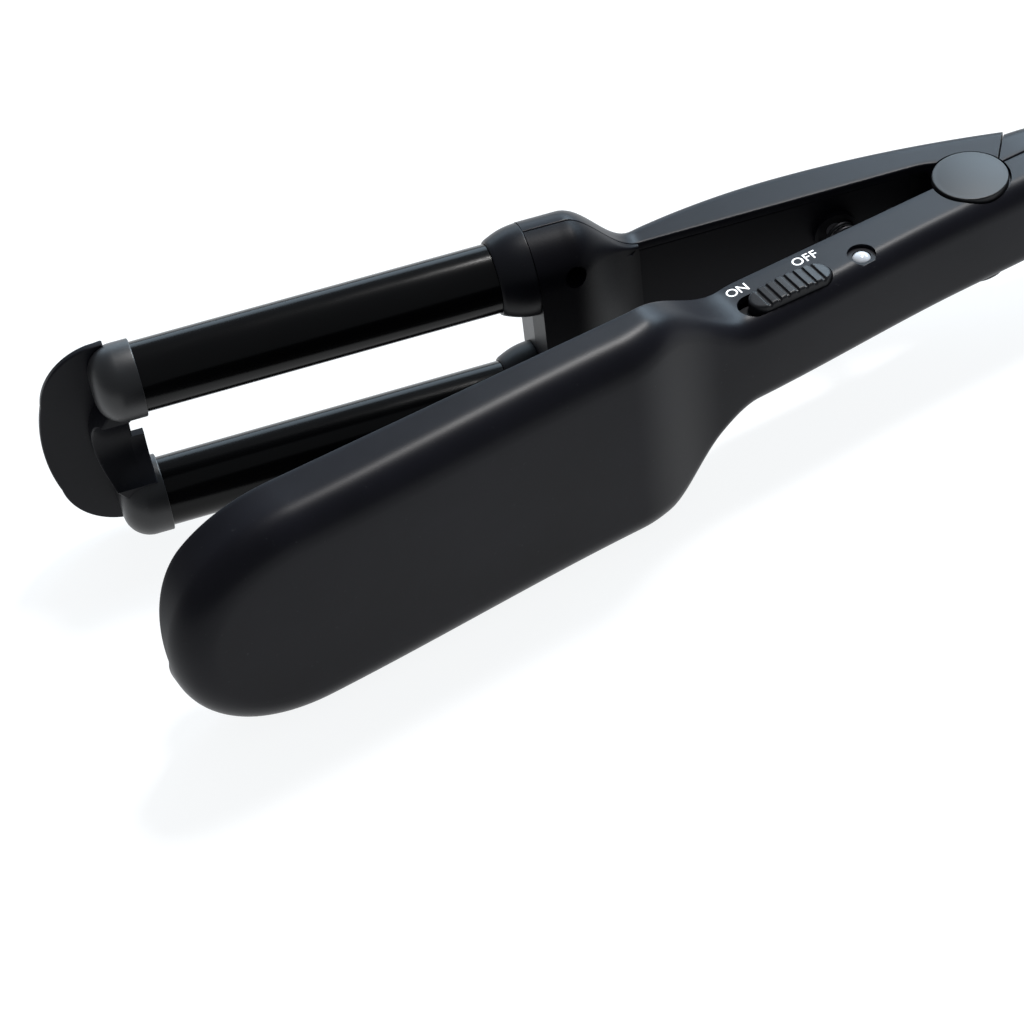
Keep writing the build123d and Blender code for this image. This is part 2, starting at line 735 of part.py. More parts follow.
def nose(side):
    """Bell-mouth ring between a barrel and the holder."""
    rear = -holder_face
    front = rear - nose_length
    inner = barrel_radius + fit_gap
    lip = inner + nose_lip
    slope = math.atan2(nose_radius - lip, nose_length)
    middle = ((rear + front) / 2.0 - nose_bulge * math.sin(slope), (lip + nose_radius) / 2.0 + nose_bulge * math.cos(slope))
    outline = Line((rear, inner), (rear, nose_radius)) + Line((front, lip), (front, inner))
    outline += ThreePointArc((rear, nose_radius), middle, (front, lip)) + Line((front, inner), (rear, inner))
    ring = revolve(make_face(outline), Axis.X, 360)
    return Pos(0, barrel_offset, side * barrel_height) * ring


def far_barrel(side):
    ends = (-barrel_tip_joint - cap_grip, -holder_face + barrel_socket)
    centre = (barrel_offset, side * barrel_height)
    return rod(barrel_radius, *ends, "X", centre) - rod(barrel_inner_radius, *ends, "X", centre)


def cap_body(side, grow):
    end = -barrel_tip_joint - end_cap_length - grow
    body = rod(end_cap_radius + grow, end, -barrel_tip_joint + grow, "X", (barrel_offset, side * barrel_height))
    return fillet(body.edges().filter_by(lambda edge: edge.center().X < end + 0.1), end_cap_round)


def end_cap(side):
    centre = (barrel_offset, side * barrel_height)
    socket = rod(barrel_radius + fit_gap, -barrel_tip_joint - cap_grip, -barrel_tip_joint + 1, "X", centre)
    return cap_body(side, 0.0) - socket


def tip_bridge():
    """Saddle between the end caps, hollowed for the middle barrel's cap, with a tab below."""
    rear, front, side_front = -bridge_rear, -bridge_front, -bridge_front_side
    top = bridge_half_height
    outline = Polyline((side_front, -top), (rear, -top), (rear, top), (side_front, top))
    outline += ThreePointArc((side_front, top), (front, 0), (side_front, -top))
    face = Plane.XZ * make_face(outline)
    body = Pos(0, guard_plane, 0) * extrude(face, guard_plane - bridge_lowest)
    body += block((-bridge_rear, -tab_rear), (bridge_lowest, guard_plane), (tab_bottom, tab_top))
    body -= rod(saddle_radius, -260, -200, "X", (middle_y, 0))
    body -= cap_body(1, fit_gap) + cap_body(-1, fit_gap)
    for side in (1, -1):
        centre = (-guard_screw_at, side * guard_screw_height)
        body -= rod(screw_shank_radius + fit_gap, guard_plane - 1.6, guard_plane + 1, "Y", centre)
    return body


def tip_guard():
    """Thin D-shaped plate behind the end caps."""
    root, shoulder, half = -guard_root, -guard_shoulder, guard_half_height
    corner = (-guard_corner[0], guard_corner[1])
    corner_end = (-guard_corner_end[0], guard_corner_end[1])
    outline = Polyline((shoulder, -half), (root, -half), (root, half), (shoulder, half))
    outline += ThreePointArc((shoulder, half), corner, corner_end)
    outline += ThreePointArc(corner_end, (-guard_tip, 0), (corner_end[0], -corner_end[1]))
    outline += ThreePointArc((corner_end[0], -corner_end[1]), (corner[0], -corner[1]), (shoulder, -half))
    face = Plane.XZ * make_face(outline)
    plate = Pos(0, guard_plane + guard_thickness, 0) * extrude(face, guard_thickness)
    for side in (1, -1):
        plate -= cap_body(side, fit_gap)
        height = side * barrel_height
        plate -= block((-guard_root - 4, 0), (0, 20), (height, height + side * 20))
        plate -= rod(screw_shank_radius + fit_gap, 0, 20, "Y", (-guard_screw_at, side * guard_screw_height))
    return plate


def guard_screws():
    shapes = []
    for side in (1, -1):
        face = guard_plane + guard_thickness + screw_head_height
        shapes.append(screw(-1, face, guard_screw_at, side * guard_screw_height, guard_thickness + 1.4))
    return joined(shapes)


# ---------------------------------------------------------------- heaters

def heater_carrier(y, height):
    """Aluminium bar with flat sides that carries the heating plate inside a barrel."""
    start, end = -carrier_far_end, -carrier_near_end
    bar = rod(barrel_inner_radius - 2 * fit_gap, start, end, "X", (y, height))
    sides = (height - carrier_half_thickness, height + carrier_half_thickness)
    bar &= block((start, end), (y - barrel_radius, y + barrel_radius), sides)
    half_width = heater_width / 2.0 + fit_gap
    half_slot = heater_thickness / 2.0 + fit_gap
    return bar - block((start - 1, end + 1), (y - half_width, y + half_width), (height - half_slot, height + half_slot))


def heater_plate(y, height):
    length = (-carrier_far_end + heater_margin, -carrier_near_end - heater_margin)
    half_width = heater_width / 2.0
    half = heater_thickness / 2.0
    return block(length, (y - half_width, y + half_width), (height - half, height + half))


# ---------------------------------------------------------------- hinge

def hinge_pin():
    half = wall_underside - ear_clearance / 2.0
    return rod(hinge_pin_radius, -half, half, "Z")


def hinge_cap(side):
    low = recess_floor
    disc = rod(hinge_cap_radius, low, low + hinge_cap_height, "Z")
    disc = fillet(disc.edges().filter_by(lambda edge: edge.center().Z > low + hinge_cap_height - 0.1), hinge_cap_edge)
    disc += rod(hinge_cap_stem, wall_underside - ear_clearance / 2.0, low, "Z")
    return disc if side > 0 else Rot(180, 0, 0) * disc


def jaw_spring():
    """Compression spring that stands in the near seat and reaches to the far one."""
    turns = Helix(spring_length / spring_turns, spring_length, spring_radius)
    start = Plane(turns @ 0, z_dir=turns % 0)
    wire = sweep(start * Circle(spring_wire_radius), path=turns)
    foot = -handle_rim + spring_wire_radius + 0.1
    return Pos(-spring_at, foot, 0) * Rot(-90, 0, 0) * wire


# ---------------------------------------------------------------- switch and lamp

def switch_knob():
    """Ribbed slider at OFF, the end of its slot towards the hinge."""
    top = handle_half_height + knob_proud
    body_low = wall_underside + 0.2
    outline = Pos(-knob_at, -knob_depth, body_low) * SlotOverall(knob_length, knob_width)
    body = extrude(outline, top - body_low)
    body = fillet(body.edges().filter_by(lambda edge: edge.center().Z > top - 0.1), knob_edge)
    for groove in range(knob_groove_count):
        x = -knob_at + (groove - (knob_groove_count - 1) / 2.0) * knob_groove_pitch
        body -= block((x - knob_groove_width / 2, x + knob_groove_width / 2), (-20, 0), (top - knob_groove_depth, top + 1))
    flange_top = wall_underside - flange_gap
    flange_length = knob_length + 2 * flange_margin
    shape = block((-knob_at - flange_length / 2, -knob_at + flange_length / 2),
                  (-knob_depth - flange_half_width, -knob_depth + flange_half_width), (flange_top - flange_thickness, flange_top))
    neck = block((-knob_at - knob_length / 2 + 3, -knob_at + knob_length / 2 - 3),
                 (-knob_depth - neck_half_width, -knob_depth + neck_half_width), (flange_top, body_low))
    stem = rod(stem_radius, flange_top - flange_thickness - stem_length, flange_top - flange_thickness, "Z", (-knob_at, -knob_depth))
    return body + shape + neck + stem


def switch_body():
    top = wall_underside - flange_gap - flange_thickness - switch_body_drop
    body = block((-knob_at - switch_body_length / 2, -knob_at + switch_body_length / 2),
                 (-switch_body_outer, -board_depth - board_thickness), (top - switch_body_height, top))
    slot_half = switch_travel + stem_radius + 0.6
    return body - block((-knob_at - slot_half, -knob_at + stem_radius + 0.6),
                        (-knob_depth - stem_radius - 0.3, -knob_depth + stem_radius + 0.3), (top - 3.4, top + 1))


def lamp_lens():
    top = near_half_height(lamp_at) - lens_crown
    lens = rod(lens_radius, wall_underside, top, "Z", (-lamp_at, -lamp_depth))
    lens = fillet(lens.edges().filter_by(lambda edge: edge.center().Z > top - 0.1), 1.4)
    return lens + rod(lens_flange_radius, wall_underside - lens_flange_thickness, wall_underside, "Z", (-lamp_at, -lamp_depth))


def lamp():
    top = wall_underside - lens_flange_thickness
    body = rod(lamp_radius, top - lamp_length, top, "Z", (-lamp_at, -lamp_depth))
    board_face = -board_depth - board_thickness
    for x in (-0.6, 0.6):
        level = top - lamp_length - 0.5
        lead = block((-lamp_at + x - 0.25, -lamp_at + x + 0.25), (-lamp_depth, -lamp_depth + 0.5), (level, top - lamp_length))
        lead += block((-lamp_at + x - 0.25, -lamp_at + x + 0.25), (-lamp_depth, board_face), (level, level + 0.5))
        body += lead
    return body


def circuit_board():
    face = -board_depth
    rear = min(board_rear, lamp_at - 3.0)
    return block((-board_front, -rear), (face - board_thickness, face), (-board_half_height, board_half_height))


def capacitor():
    face = -board_depth - board_thickness
    return rod(capacitor_radius, face - capacitor_length, face, "Y", (-capacitor_at, -3.2))


def control_chip():
    face = -board_depth - board_thickness
    return block((-chip_at - chip_size[0] / 2, -chip_at + chip_size[0] / 2), (face - chip_size[1], face), (-6.2, -0.2))


def thermal_fuse():
    face = -board_depth - board_thickness
    return rod(fuse_radius, -fuse_at - fuse_length / 2, -fuse_at + fuse_length / 2, "X", (face - fuse_radius, -4.0))


# ---------------------------------------------------------------- writing

near_pieces = {
    "near_outer_shell": near_outer_shell,
    "near_inner_cover": near_inner_cover,
    "tail_cover": tail_cover,
    "tail_screw": tail_screw,
    "near_cover_screws": near_cover_screws,
    "middle_barrel": middle_barrel,
    "middle_nose": middle_nose,
    "middle_end_cap": middle_end_cap,
    "middle_heater_carrier": lambda: heater_carrier(middle_y, 0.0),
    "middle_heater": lambda: heater_plate(middle_y, 0.0),
    "hinge_pin": hinge_pin,
    "top_hinge_cap": lambda: hinge_cap(1),
    "bottom_hinge_cap": lambda: hinge_cap(-1),
    "jaw_spring": jaw_spring,
    "switch_knob": switch_knob,
    "switch_body": switch_body,
    "lamp_lens": lamp_lens,
    "lamp": lamp,
    "circuit_board": circuit_board,
    "capacitor": capacitor,
    "control_chip": control_chip,
    "thermal_fuse": thermal_fuse,
    "cord_swivel": cord_swivel,
}
far_pieces = {
    "far_outer_shell": far_outer_shell,
    "clamp_cover": clamp_cover,
    "clamp_screws": clamp_screws,
    "far_handle_cover": far_handle_cover,
    "far_cover_screws": far_cover_screws,
    "upper_nose": lambda: nose(1),
    "lower_nose": lambda: nose(-1),
    "upper_barrel": lambda: far_barrel(1),
    "lower_barrel": lambda: far_barrel(-1),
    "upper_end_cap": lambda: end_cap(1),
    "lower_end_cap": lambda: end_cap(-1),
    "tip_bridge": tip_bridge,
    "tip_guard": tip_guard,
    "guard_screws": guard_screws,
    "upper_heater_carrier": lambda: heater_carrier(barrel_offset, barrel_height),
    "lower_heater_carrier": lambda: heater_carrier(barrel_offset, -barrel_height),
    "upper_heater": lambda: heater_plate(barrel_offset, barrel_height),
    "lower_heater": lambda: heater_plate(barrel_offset, -barrel_height),
}


def write(name, shape):
    export_step(Pos(-inlet_reach, 0, 0) * shape, f"parts/{name}.step")


os.makedirs("parts", exist_ok=True)
for name, make in near_pieces.items():
    write(name, make())
for name, make in far_pieces.items():
    write(name, Rot(0, 0, -jaw_opening) * make())
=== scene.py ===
import math

import bmesh
import bpy
import numpy as np
from mathutils import Matrix, Vector


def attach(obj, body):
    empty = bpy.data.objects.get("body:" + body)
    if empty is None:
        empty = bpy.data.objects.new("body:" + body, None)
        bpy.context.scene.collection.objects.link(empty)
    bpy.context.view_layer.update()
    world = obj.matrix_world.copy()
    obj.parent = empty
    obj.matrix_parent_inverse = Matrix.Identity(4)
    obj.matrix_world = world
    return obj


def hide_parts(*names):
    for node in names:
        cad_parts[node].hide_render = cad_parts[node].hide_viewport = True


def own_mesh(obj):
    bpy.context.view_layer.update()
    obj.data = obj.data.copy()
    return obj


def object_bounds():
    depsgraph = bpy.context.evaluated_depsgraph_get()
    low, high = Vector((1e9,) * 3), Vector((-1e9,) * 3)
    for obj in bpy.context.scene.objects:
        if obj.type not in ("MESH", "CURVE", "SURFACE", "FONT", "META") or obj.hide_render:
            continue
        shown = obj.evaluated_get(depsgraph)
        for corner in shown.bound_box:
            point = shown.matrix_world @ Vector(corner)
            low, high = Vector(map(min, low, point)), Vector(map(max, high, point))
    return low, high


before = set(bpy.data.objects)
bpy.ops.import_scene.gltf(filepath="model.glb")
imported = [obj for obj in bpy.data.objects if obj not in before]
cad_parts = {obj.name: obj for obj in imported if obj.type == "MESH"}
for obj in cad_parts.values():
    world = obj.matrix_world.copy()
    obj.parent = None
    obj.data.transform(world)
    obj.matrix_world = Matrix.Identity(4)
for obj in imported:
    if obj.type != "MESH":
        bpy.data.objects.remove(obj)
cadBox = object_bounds()

# Lengths in the dictionaries are millimetres from the hinge axis, with both arms closed;
# "s" runs from the hinge towards the tip and "depth" from the closing plane to the near side.
# A "run" lists cross sections: from, to and how many, less the ends that another value gives.
hingeX = -62.0
openAngle = math.radians(13.2)
metres = 0.001
axisGap = 0.02
cutStart, cutEnd = 5.0, 20.0


def eased(value, start, end):
    # smooth step: 3p^2 - 2p^3 of the clipped share p
    p = np.clip((np.asarray(value, float) - start) / (end - start), 0, 1)
    return p * p * (3 - 2 * p)


def mixed(low, high, part):
    return low + (high - low) * part


def openUp(points):
    # a far piece turned about the hinge from the closed arms to the open rest pose
    c, s = math.cos(-openAngle), math.sin(-openAngle)
    x, y = points[..., 0], points[..., 1]
    return np.stack([x * c - y * s, x * s + y * c, points[..., 2]], -1)


def stay(points):
    return points


def linked(name, data):
    made = bpy.data.objects.new(name, data)
    bpy.context.scene.collection.objects.link(made)
    return made


def painted(mesh, material):
    mesh.materials.clear()
    mesh.materials.append(material)


def shaded(mesh, smooth):
    # smooth, with an edge kept sharp where it turns by more than the angle
    mesh.shade_smooth()
    mesh.set_sharp_from_angle(angle=math.radians(smooth))


def baked(made):
    # a new mesh of what the object shows, with its modifiers or from its curve
    bpy.context.view_layer.update()
    return bpy.data.meshes.new_from_object(made.evaluated_get(bpy.context.evaluated_depsgraph_get()))


def tidyMesh(mesh, smooth):
    work = bmesh.new()
    work.from_mesh(mesh)
    bmesh.ops.remove_doubles(work, verts=work.verts, dist=2e-6)
    bmesh.ops.dissolve_degenerate(work, edges=work.edges, dist=1e-6)
    bmesh.ops.recalc_face_normals(work, faces=work.faces)
    work.to_mesh(mesh)
    work.free()
    shaded(mesh, smooth)


def arrayMesh(name, shapes, place, smooth):
    # one mesh in metres from (points, faces) pairs, its origin at the frame's origin
    allPoints, allFaces, count = [], [], 0
    for points, faces in shapes:
        flat = place(np.asarray(points, float).reshape(-1, 3)) + np.array([hingeX, 0, 0])
        allPoints.append(flat * metres)
        allFaces += [[v + count for v in face] for face in faces]
        count += len(flat)
    mesh = bpy.data.meshes.new(name)
    mesh.from_pydata(np.concatenate(allPoints).tolist(), [], allFaces)
    tidyMesh(mesh, smooth)
    return mesh


def addPiece(name, shapes, body, material, nodes=(), place=stay, smooth=32.0,
             unions=(), cuts=()):
    piece = linked(name, arrayMesh(name, shapes, place, smooth))
    if unions or cuts:
        steps = [("UNION", shape) for shape in unions] + [("DIFFERENCE", shape) for shape in cuts]
        carve(piece, steps, place, smooth)
    painted(piece.data, material)
    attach(piece, body)
    if nodes:
        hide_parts(*nodes)
    return piece


def carve(piece, steps, place, smooth):
    # exact booleans, baked into the piece's mesh; the tools are removed again
    tools = []
    for operation, shape in steps:
        tool = linked("tool", arrayMesh("tool", [shape], place, smooth))
        cut = piece.modifiers.new("cut", "BOOLEAN")
        cut.operation = operation
        cut.solver = "EXACT"
        cut.object = tool
        tools.append(tool)
    carved = baked(piece)
    piece.modifiers.clear()
    old, piece.data = piece.data, carved
    bpy.data.meshes.remove(old)
    for tool in tools:
        toolMesh = tool.data
        bpy.data.objects.remove(tool)
        bpy.data.meshes.remove(toolMesh)
    carved.name = piece.name
    shaded(carved, smooth)


def gridFaces(rows, cols, wrapRows=False, wrapCols=False, offset=0):
    # quads of a rows x cols grid, by index arithmetic on whole arrays
    r = np.arange(rows if wrapRows else rows - 1)
    c = np.arange(cols if wrapCols else cols - 1)
    a, b = np.meshgrid(r, c, indexing="ij")
    a2, b2 = (a + 1) % rows, (b + 1) % cols
    quads = np.stack([a * cols + b, a * cols + b2, a2 * cols + b2, a2 * cols + b], -1)
    return (quads.reshape(-1, 4) + offset).tolist()


def closedFaces(rows, cols):
    # rows of closed loops, with one face over the first loop and one over the last
    ends = [list(range(cols)), list(range((rows - 1) * cols, rows * cols))]
    return gridFaces(rows, cols, False, True) + ends


def onAxis(axis, along, first, second):
    # the "along" values go to the named axis, the other two keep their order x, y, z
    order = {"x": (along, first, second), "y": (first, along, second), "z": (first, second, along)}
    return np.stack(order[axis], -1)


def spun(outline, centre=(0, 0), axis="x", steps=96):
    # closed outline of (along, r) turned about an axis: (along, r cos a, r sin a)
    outline = np.asarray(outline, float)
    angle = np.linspace(0, 2 * math.pi, steps, endpoint=False)
    along = np.repeat(outline[:, :1], steps, 1)
    radius = outline[:, 1:]
    points = onAxis(axis, along, radius * np.cos(angle) + centre[0], radius * np.sin(angle) + centre[1])
    return points, gridFaces(len(outline), steps, True, True)


def rounded(corners, steps=7):
    # closed outline from (x, y, cut) corners; each corner is the curve (1-t)^2 a + 2t(1-t) c + t^2 b
    flat = np.array([c[:2] for c in corners], float)
    t = np.linspace(0, 1, steps)[:, None]
    out = []
    for i, (_, _, cut) in enumerate(corners):
        here, before, after = flat[i], flat[i - 1], flat[(i + 1) % len(flat)]
        if cut <= 0:
            out.append(here[None])
            continue
        a = here + (before - here) * min(0.5, cut / np.linalg.norm(before - here))
        b = here + (after - here) * min(0.5, cut / np.linalg.norm(after - here))
        out.append((1 - t) ** 2 * a + 2 * t * (1 - t) * here + t ** 2 * b)
    return np.concatenate(out)


def ringSection(low, high, inner, outer, edge):
    # a ring from low to high along its axis, with both outer edges rounded
    return rounded([(low, inner, 0), (high, inner, 0), (high, outer, edge), (low, outer, edge)])


def boxOutline(half, near, far, edge):
    return rounded([(-half, near, edge), (half, near, edge), (half, far, edge), (-half, far, edge)])


def slab(outline, low, high, edge=0.3, axis="y", steps=5):
    # flat outline given thickness; near both faces the loop is drawn in by edge (1 - cos a)
    outline = np.asarray(outline, float)
    along = np.roll(outline, -1, 0) - np.roll(outline, 1, 0)
    side = np.stack([along[:, 1], -along[:, 0]], -1)
    side /= np.linalg.norm(side, axis=1, keepdims=True) + 1e-12
    nextUp = np.roll(outline, -1, 0)
    area = np.sum(outline[:, 0] * nextUp[:, 1] - nextUp[:, 0] * outline[:, 1])
    inward = -side if area > 0 else side
    a = np.linspace(0, math.pi / 2, steps)
    levels = np.concatenate([low + edge * (1 - np.sin(a[::-1])), high - edge * (1 - np.sin(a))])
    drawn = np.concatenate([edge * (1 - np.cos(a[::-1])), edge * (1 - np.cos(a))])
    loops = outline[None] + inward[None] * drawn[:, None, None]
    points = onAxis(axis, np.repeat(levels[:, None], len(outline), 1), loops[..., 0], loops[..., 1])
    return points, closedFaces(*points.shape[:2])


def plug(outline, low, high, axis="z"):
    # a slab with sharp edges, to cut with
    return slab(outline, low, high, 0.0, axis, 2)


def stadium(length, width, centre, steps=24, sides=2):
    # two half circles joined by straight sides of "sides" points
    a = np.linspace(-math.pi / 2, math.pi / 2, steps)
    r, half = width / 2, length / 2 - width / 2
    end = np.stack([half + r * np.cos(a), r * np.sin(a)], -1)
    run = np.linspace(half, -half, sides)[1:-1]
    side = np.stack([run, np.full(len(run), r)], -1)
    return np.concatenate([end, side, -end, -side]) + np.asarray(centre, float)


def circle(radius, centre=(0, 0), steps=64):
    a = np.linspace(0, 2 * math.pi, steps, endpoint=False)
    return np.stack([centre[0] + radius * np.cos(a), centre[1] + radius * np.sin(a)], -1)


def arcThrough(a, b, c, steps):
    # circle through three points, drawn from a over b to c
    a, b, c = (complex(*p) for p in (a, b, c))
    w = (c - a) / (b - a)
    centre = (b - a) * (w - abs(w) ** 2) / (2j * w.imag) + a
    start, stop = np.angle(a - centre), np.angle(c - centre)
    turn = 1 if ((b - a).conjugate() * (c - b)).imag > 0 else -1
    sweep = (turn * (stop - start)) % (2 * math.pi) * turn
    p = centre + abs(a - centre) * np.exp(1j * (start + sweep * np.linspace(0, 1, steps)))
    return np.stack([p.real, p.imag], -1)


class Wire:
    # a socket with arithmetic: an expression on wires adds Math nodes
    def __init__(self, shader, socket):
        self.shader = shader
        self.socket = socket

    def math(self, operation, first, second):
        return self.shader.node("ShaderNodeMath", {"operation": operation}, {0: first, 1: second})

    def __add__(self, other):
        return self.math("ADD", self, other)

    __radd__ = __add__

    def __mul__(self, other):
        return self.math("MULTIPLY", self, other)

    def __sub__(self, other):
        return self.math("SUBTRACT", self, other)

    def __rsub__(self, other):
        return self.math("SUBTRACT", other, self)

    def clipped(self, low, high):
        # 0 at low, 1 at high and straight between them
        values = {"Value": self, "From Min": low, "From Max": high}
        return self.shader.node("ShaderNodeMapRange", {"clamp": True}, values)


class Shader:
    # a material whose nodes all come from one method
    def __init__(self, name):
        self.material = bpy.data.materials.new(name)
        self.material.use_nodes = True
        self.tree = self.material.node_tree
        self.tree.nodes.clear()
        self.output = self.tree.nodes.new("ShaderNodeOutputMaterial")
        self.coords = self.node("ShaderNodeTexCoord", out="Object")

    def node(self, kind, settings=None, values=None, out=0):
        made = self.tree.nodes.new(kind)
        for key, value in (settings or {}).items():
            setattr(made, key, value)
        for key, value in (values or {}).items():
            socket = made.inputs[key]
            if isinstance(value, Wire):
                self.tree.links.new(value.socket, socket)
            else:
                socket.default_value = value
        return Wire(self, made.outputs[out])

    def noise(self, scale, detail, rough, stretch=(1, 1, 1), distortion=0.0):
        vector = self.node("ShaderNodeMapping", None, {"Vector": self.coords, "Scale": stretch})
        return self.node("ShaderNodeTexNoise", None, {
            "Vector": vector, "Scale": scale, "Detail": detail, "Roughness": rough, "Distortion": distortion})

    def cells(self, scale):
        return self.node("ShaderNodeTexVoronoi", None, {"Vector": self.coords, "Scale": scale})

    def blend(self, factor, a, b):
        # a and b are wires or plain colours
        a, b = ((*colour, 1) if isinstance(colour, tuple) else colour for colour in (a, b))
        return self.node("ShaderNodeMix", {"data_type": "RGBA"}, {0: factor, 6: a, 7: b}, 2)

    def bump(self, height, strength, distance):
        values = {"Height": height, "Strength": strength, "Distance": distance}
        return self.node("ShaderNodeBump", None, values)

    def finish(self, values, normal=None):
        if normal is not None:
            values = {**values, "Normal": normal}
        surface = self.node("ShaderNodeBsdfPrincipled", None, values)
        self.tree.links.new(surface.socket, self.output.inputs["Surface"])
        return self.material


# "grain" counts cells per metre, "height" is the bump's strength, "spread" the change of roughness
finishes = {
    "shellPlastic": {"dark": (0.003, 0.003, 0.005), "light": (0.0056, 0.0056, 0.0086),
        "rough": 0.36, "spread": 0.06, "grain": 2600, "height": 0.12, "specular": 0.125},
    "coverPlastic": {"dark": (0.0026, 0.0025, 0.004), "light": (0.0044, 0.0043, 0.0064),
        "rough": 0.46, "spread": 0.07, "grain": 1900, "height": 0.3, "specular": 0.07},
    "trimPlastic": {"dark": (0.003, 0.0032, 0.005), "light": (0.0055, 0.0058, 0.0084),
        "rough": 0.38, "spread": 0.08, "grain": 3000, "height": 0.14, "specular": 0.14},
    "capPlastic": {"dark": (0.0045, 0.0048, 0.0058), "light": (0.008, 0.0084, 0.0098),
        "rough": 0.38, "spread": 0.06, "grain": 3400, "height": 0.1, "specular": 0.24},
    "tipCapPlastic": {"dark": (0.006, 0.0064, 0.0076), "light": (0.01, 0.0106, 0.0124),
        "rough": 0.4, "spread": 0.06, "grain": 3400, "height": 0.12, "specular": 0.46},
    "switchPlastic": {"dark": (0.006, 0.0063, 0.0078), "light": (0.01, 0.0105, 0.0125),
        "rough": 0.4, "spread": 0.08, "grain": 3000, "height": 0.2, "specular": 0.19},
}
plasticWear = {
    "mottle": 38, "mottleRange": (0.3, 0.7), "fine": 0.9, "fineRough": 0.06, "rub": 11,
    "rubRange": (0.55, 0.78), "rubMix": 0.35, "rubTone": 1.5, "rubRough": -0.04, "dust": 900,
    "dustRange": (0.70, 0.80), "dustMix": 0.10, "dustTone": (0.09, 0.09, 0.095), "relief": (0.5, 0.5, 0.8),
    "deep": 0.00004,
}


def mouldedPlastic(name, look):
    # spark-eroded grain: fine cells over soft mottling, with faint rubbed patches and dust
    w = plasticWear
    s = Shader(name)
    mottle = s.noise(w["mottle"], 4, 0.6)
    grain = s.cells(look["grain"])
    fine = s.noise(look["grain"] * w["fine"], 2, 0.5)
    rub = s.noise(w["rub"], 5, 0.65, distortion=0.4).clipped(*w["rubRange"])
    dust = s.noise(w["dust"], 2, 0.5).clipped(*w["dustRange"])
    tone = s.blend(mottle.clipped(*w["mottleRange"]), look["dark"], look["light"])
    tone = s.blend(rub * w["rubMix"], tone, tuple(v * w["rubTone"] for v in look["light"]))
    tone = s.blend(dust * w["dustMix"], tone, w["dustTone"])
    rough = look["rough"] + (mottle - 0.5) * look["spread"] + rub * w["rubRough"]
    rough = rough + (fine - 0.5) * w["fineRough"]
    grainPart, finePart, mottlePart = w["relief"]
    height = grain * grainPart + fine * finePart + mottle * mottlePart
    normal = s.bump(height, look["height"], w["deep"])
    return s.finish({"Base Color": tone, "Roughness": rough, "Specular IOR Level": look["specular"]}, normal)


glazeLook = {
    "dark": (0.0012, 0.0012, 0.0014), "light": (0.0024, 0.0024, 0.0028), "rough": 0.17, "spread": 0.08,
    "specular": 0.15, "lines": 420, "linesAlong": (0.03, 1, 1), "lineRough": 0.05, "cloud": 24,
    "cloudAlong": (0.5, 1, 1), "cloudRange": (0.35, 0.7), "specks": 1500, "speckRange": (0.02, 0.10),
    "speckMix": 0.25, "speckTone": (0.03, 0.03, 0.032), "relief": (0.6, 0.2), "height": 0.06,
    "deep": 0.00003,
}


def glazedBarrel(name, look):
    # ceramic glaze on a drawn tube: long faint draw lines, small specks, wiped streaks in the gloss
    s = Shader(name)
    lines = s.noise(look["lines"], 2, 0.5, stretch=look["linesAlong"])
    cloud = s.noise(look["cloud"], 4, 0.6, stretch=look["cloudAlong"])
    specks = s.cells(look["specks"]).clipped(*look["speckRange"])
    tone = s.blend(cloud.clipped(*look["cloudRange"]), look["dark"], look["light"])
    tone = s.blend((1 - specks) * look["speckMix"], tone, look["speckTone"])
    rough = look["rough"] + (cloud - 0.5) * look["spread"] + (lines - 0.5) * look["lineRough"]
    linePart, speckPart = look["relief"]
    normal = s.bump(lines * linePart + specks * speckPart, look["height"], look["deep"])
    return s.finish({"Base Color": tone, "Roughness": rough, "Specular IOR Level": look["specular"]}, normal)


metalWear = {
    "lines": 900, "lineRough": 0.15, "tarnish": 60, "tarnishRange": (0.45, 0.75), "tarnishMix": 0.5,
    "tarnishTone": 0.6, "tarnishRough": 0.08, "height": 0.25, "deep": 0.00003,
}


def metal(name, colour, rough, stretch=(1, 1, 1)):
    # turned or drawn metal: directional scratches with a little tarnish
    w = metalWear
    s = Shader(name)
    lines = s.noise(w["lines"], 3, 0.6, stretch=stretch)
    tarnish = s.noise(w["tarnish"], 4, 0.6).clipped(*w["tarnishRange"])
    tone = s.blend(tarnish * w["tarnishMix"], colour, tuple(v * w["tarnishTone"] for v in colour))
    rough = rough + (lines - 0.5) * w["lineRough"] + tarnish * w["tarnishRough"]
    normal = s.bump(lines, w["height"], w["deep"])
    return s.finish({"Base Color": tone, "Metallic": 1.0, "Roughness": rough}, normal)


fineWear = {"range": (0.35, 0.65), "rough": 0.1, "deep": 0.00003}


def plainFine(name, a, b, rough, scale=300, height=0.15, extra=None):
    # small pieces: two tones in fine clouds with a light bump
    w = fineWear
    s = Shader(name)
    cloud = s.noise(scale, 4, 0.6)
    tone = s.blend(cloud.clipped(*w["range"]), a, b)
    rough = rough + (cloud - 0.5) * w["rough"]
    normal = s.bump(cloud, height, w["deep"])
    return s.finish({"Base Color": tone, "Roughness": rough, **(extra or {})}, normal)


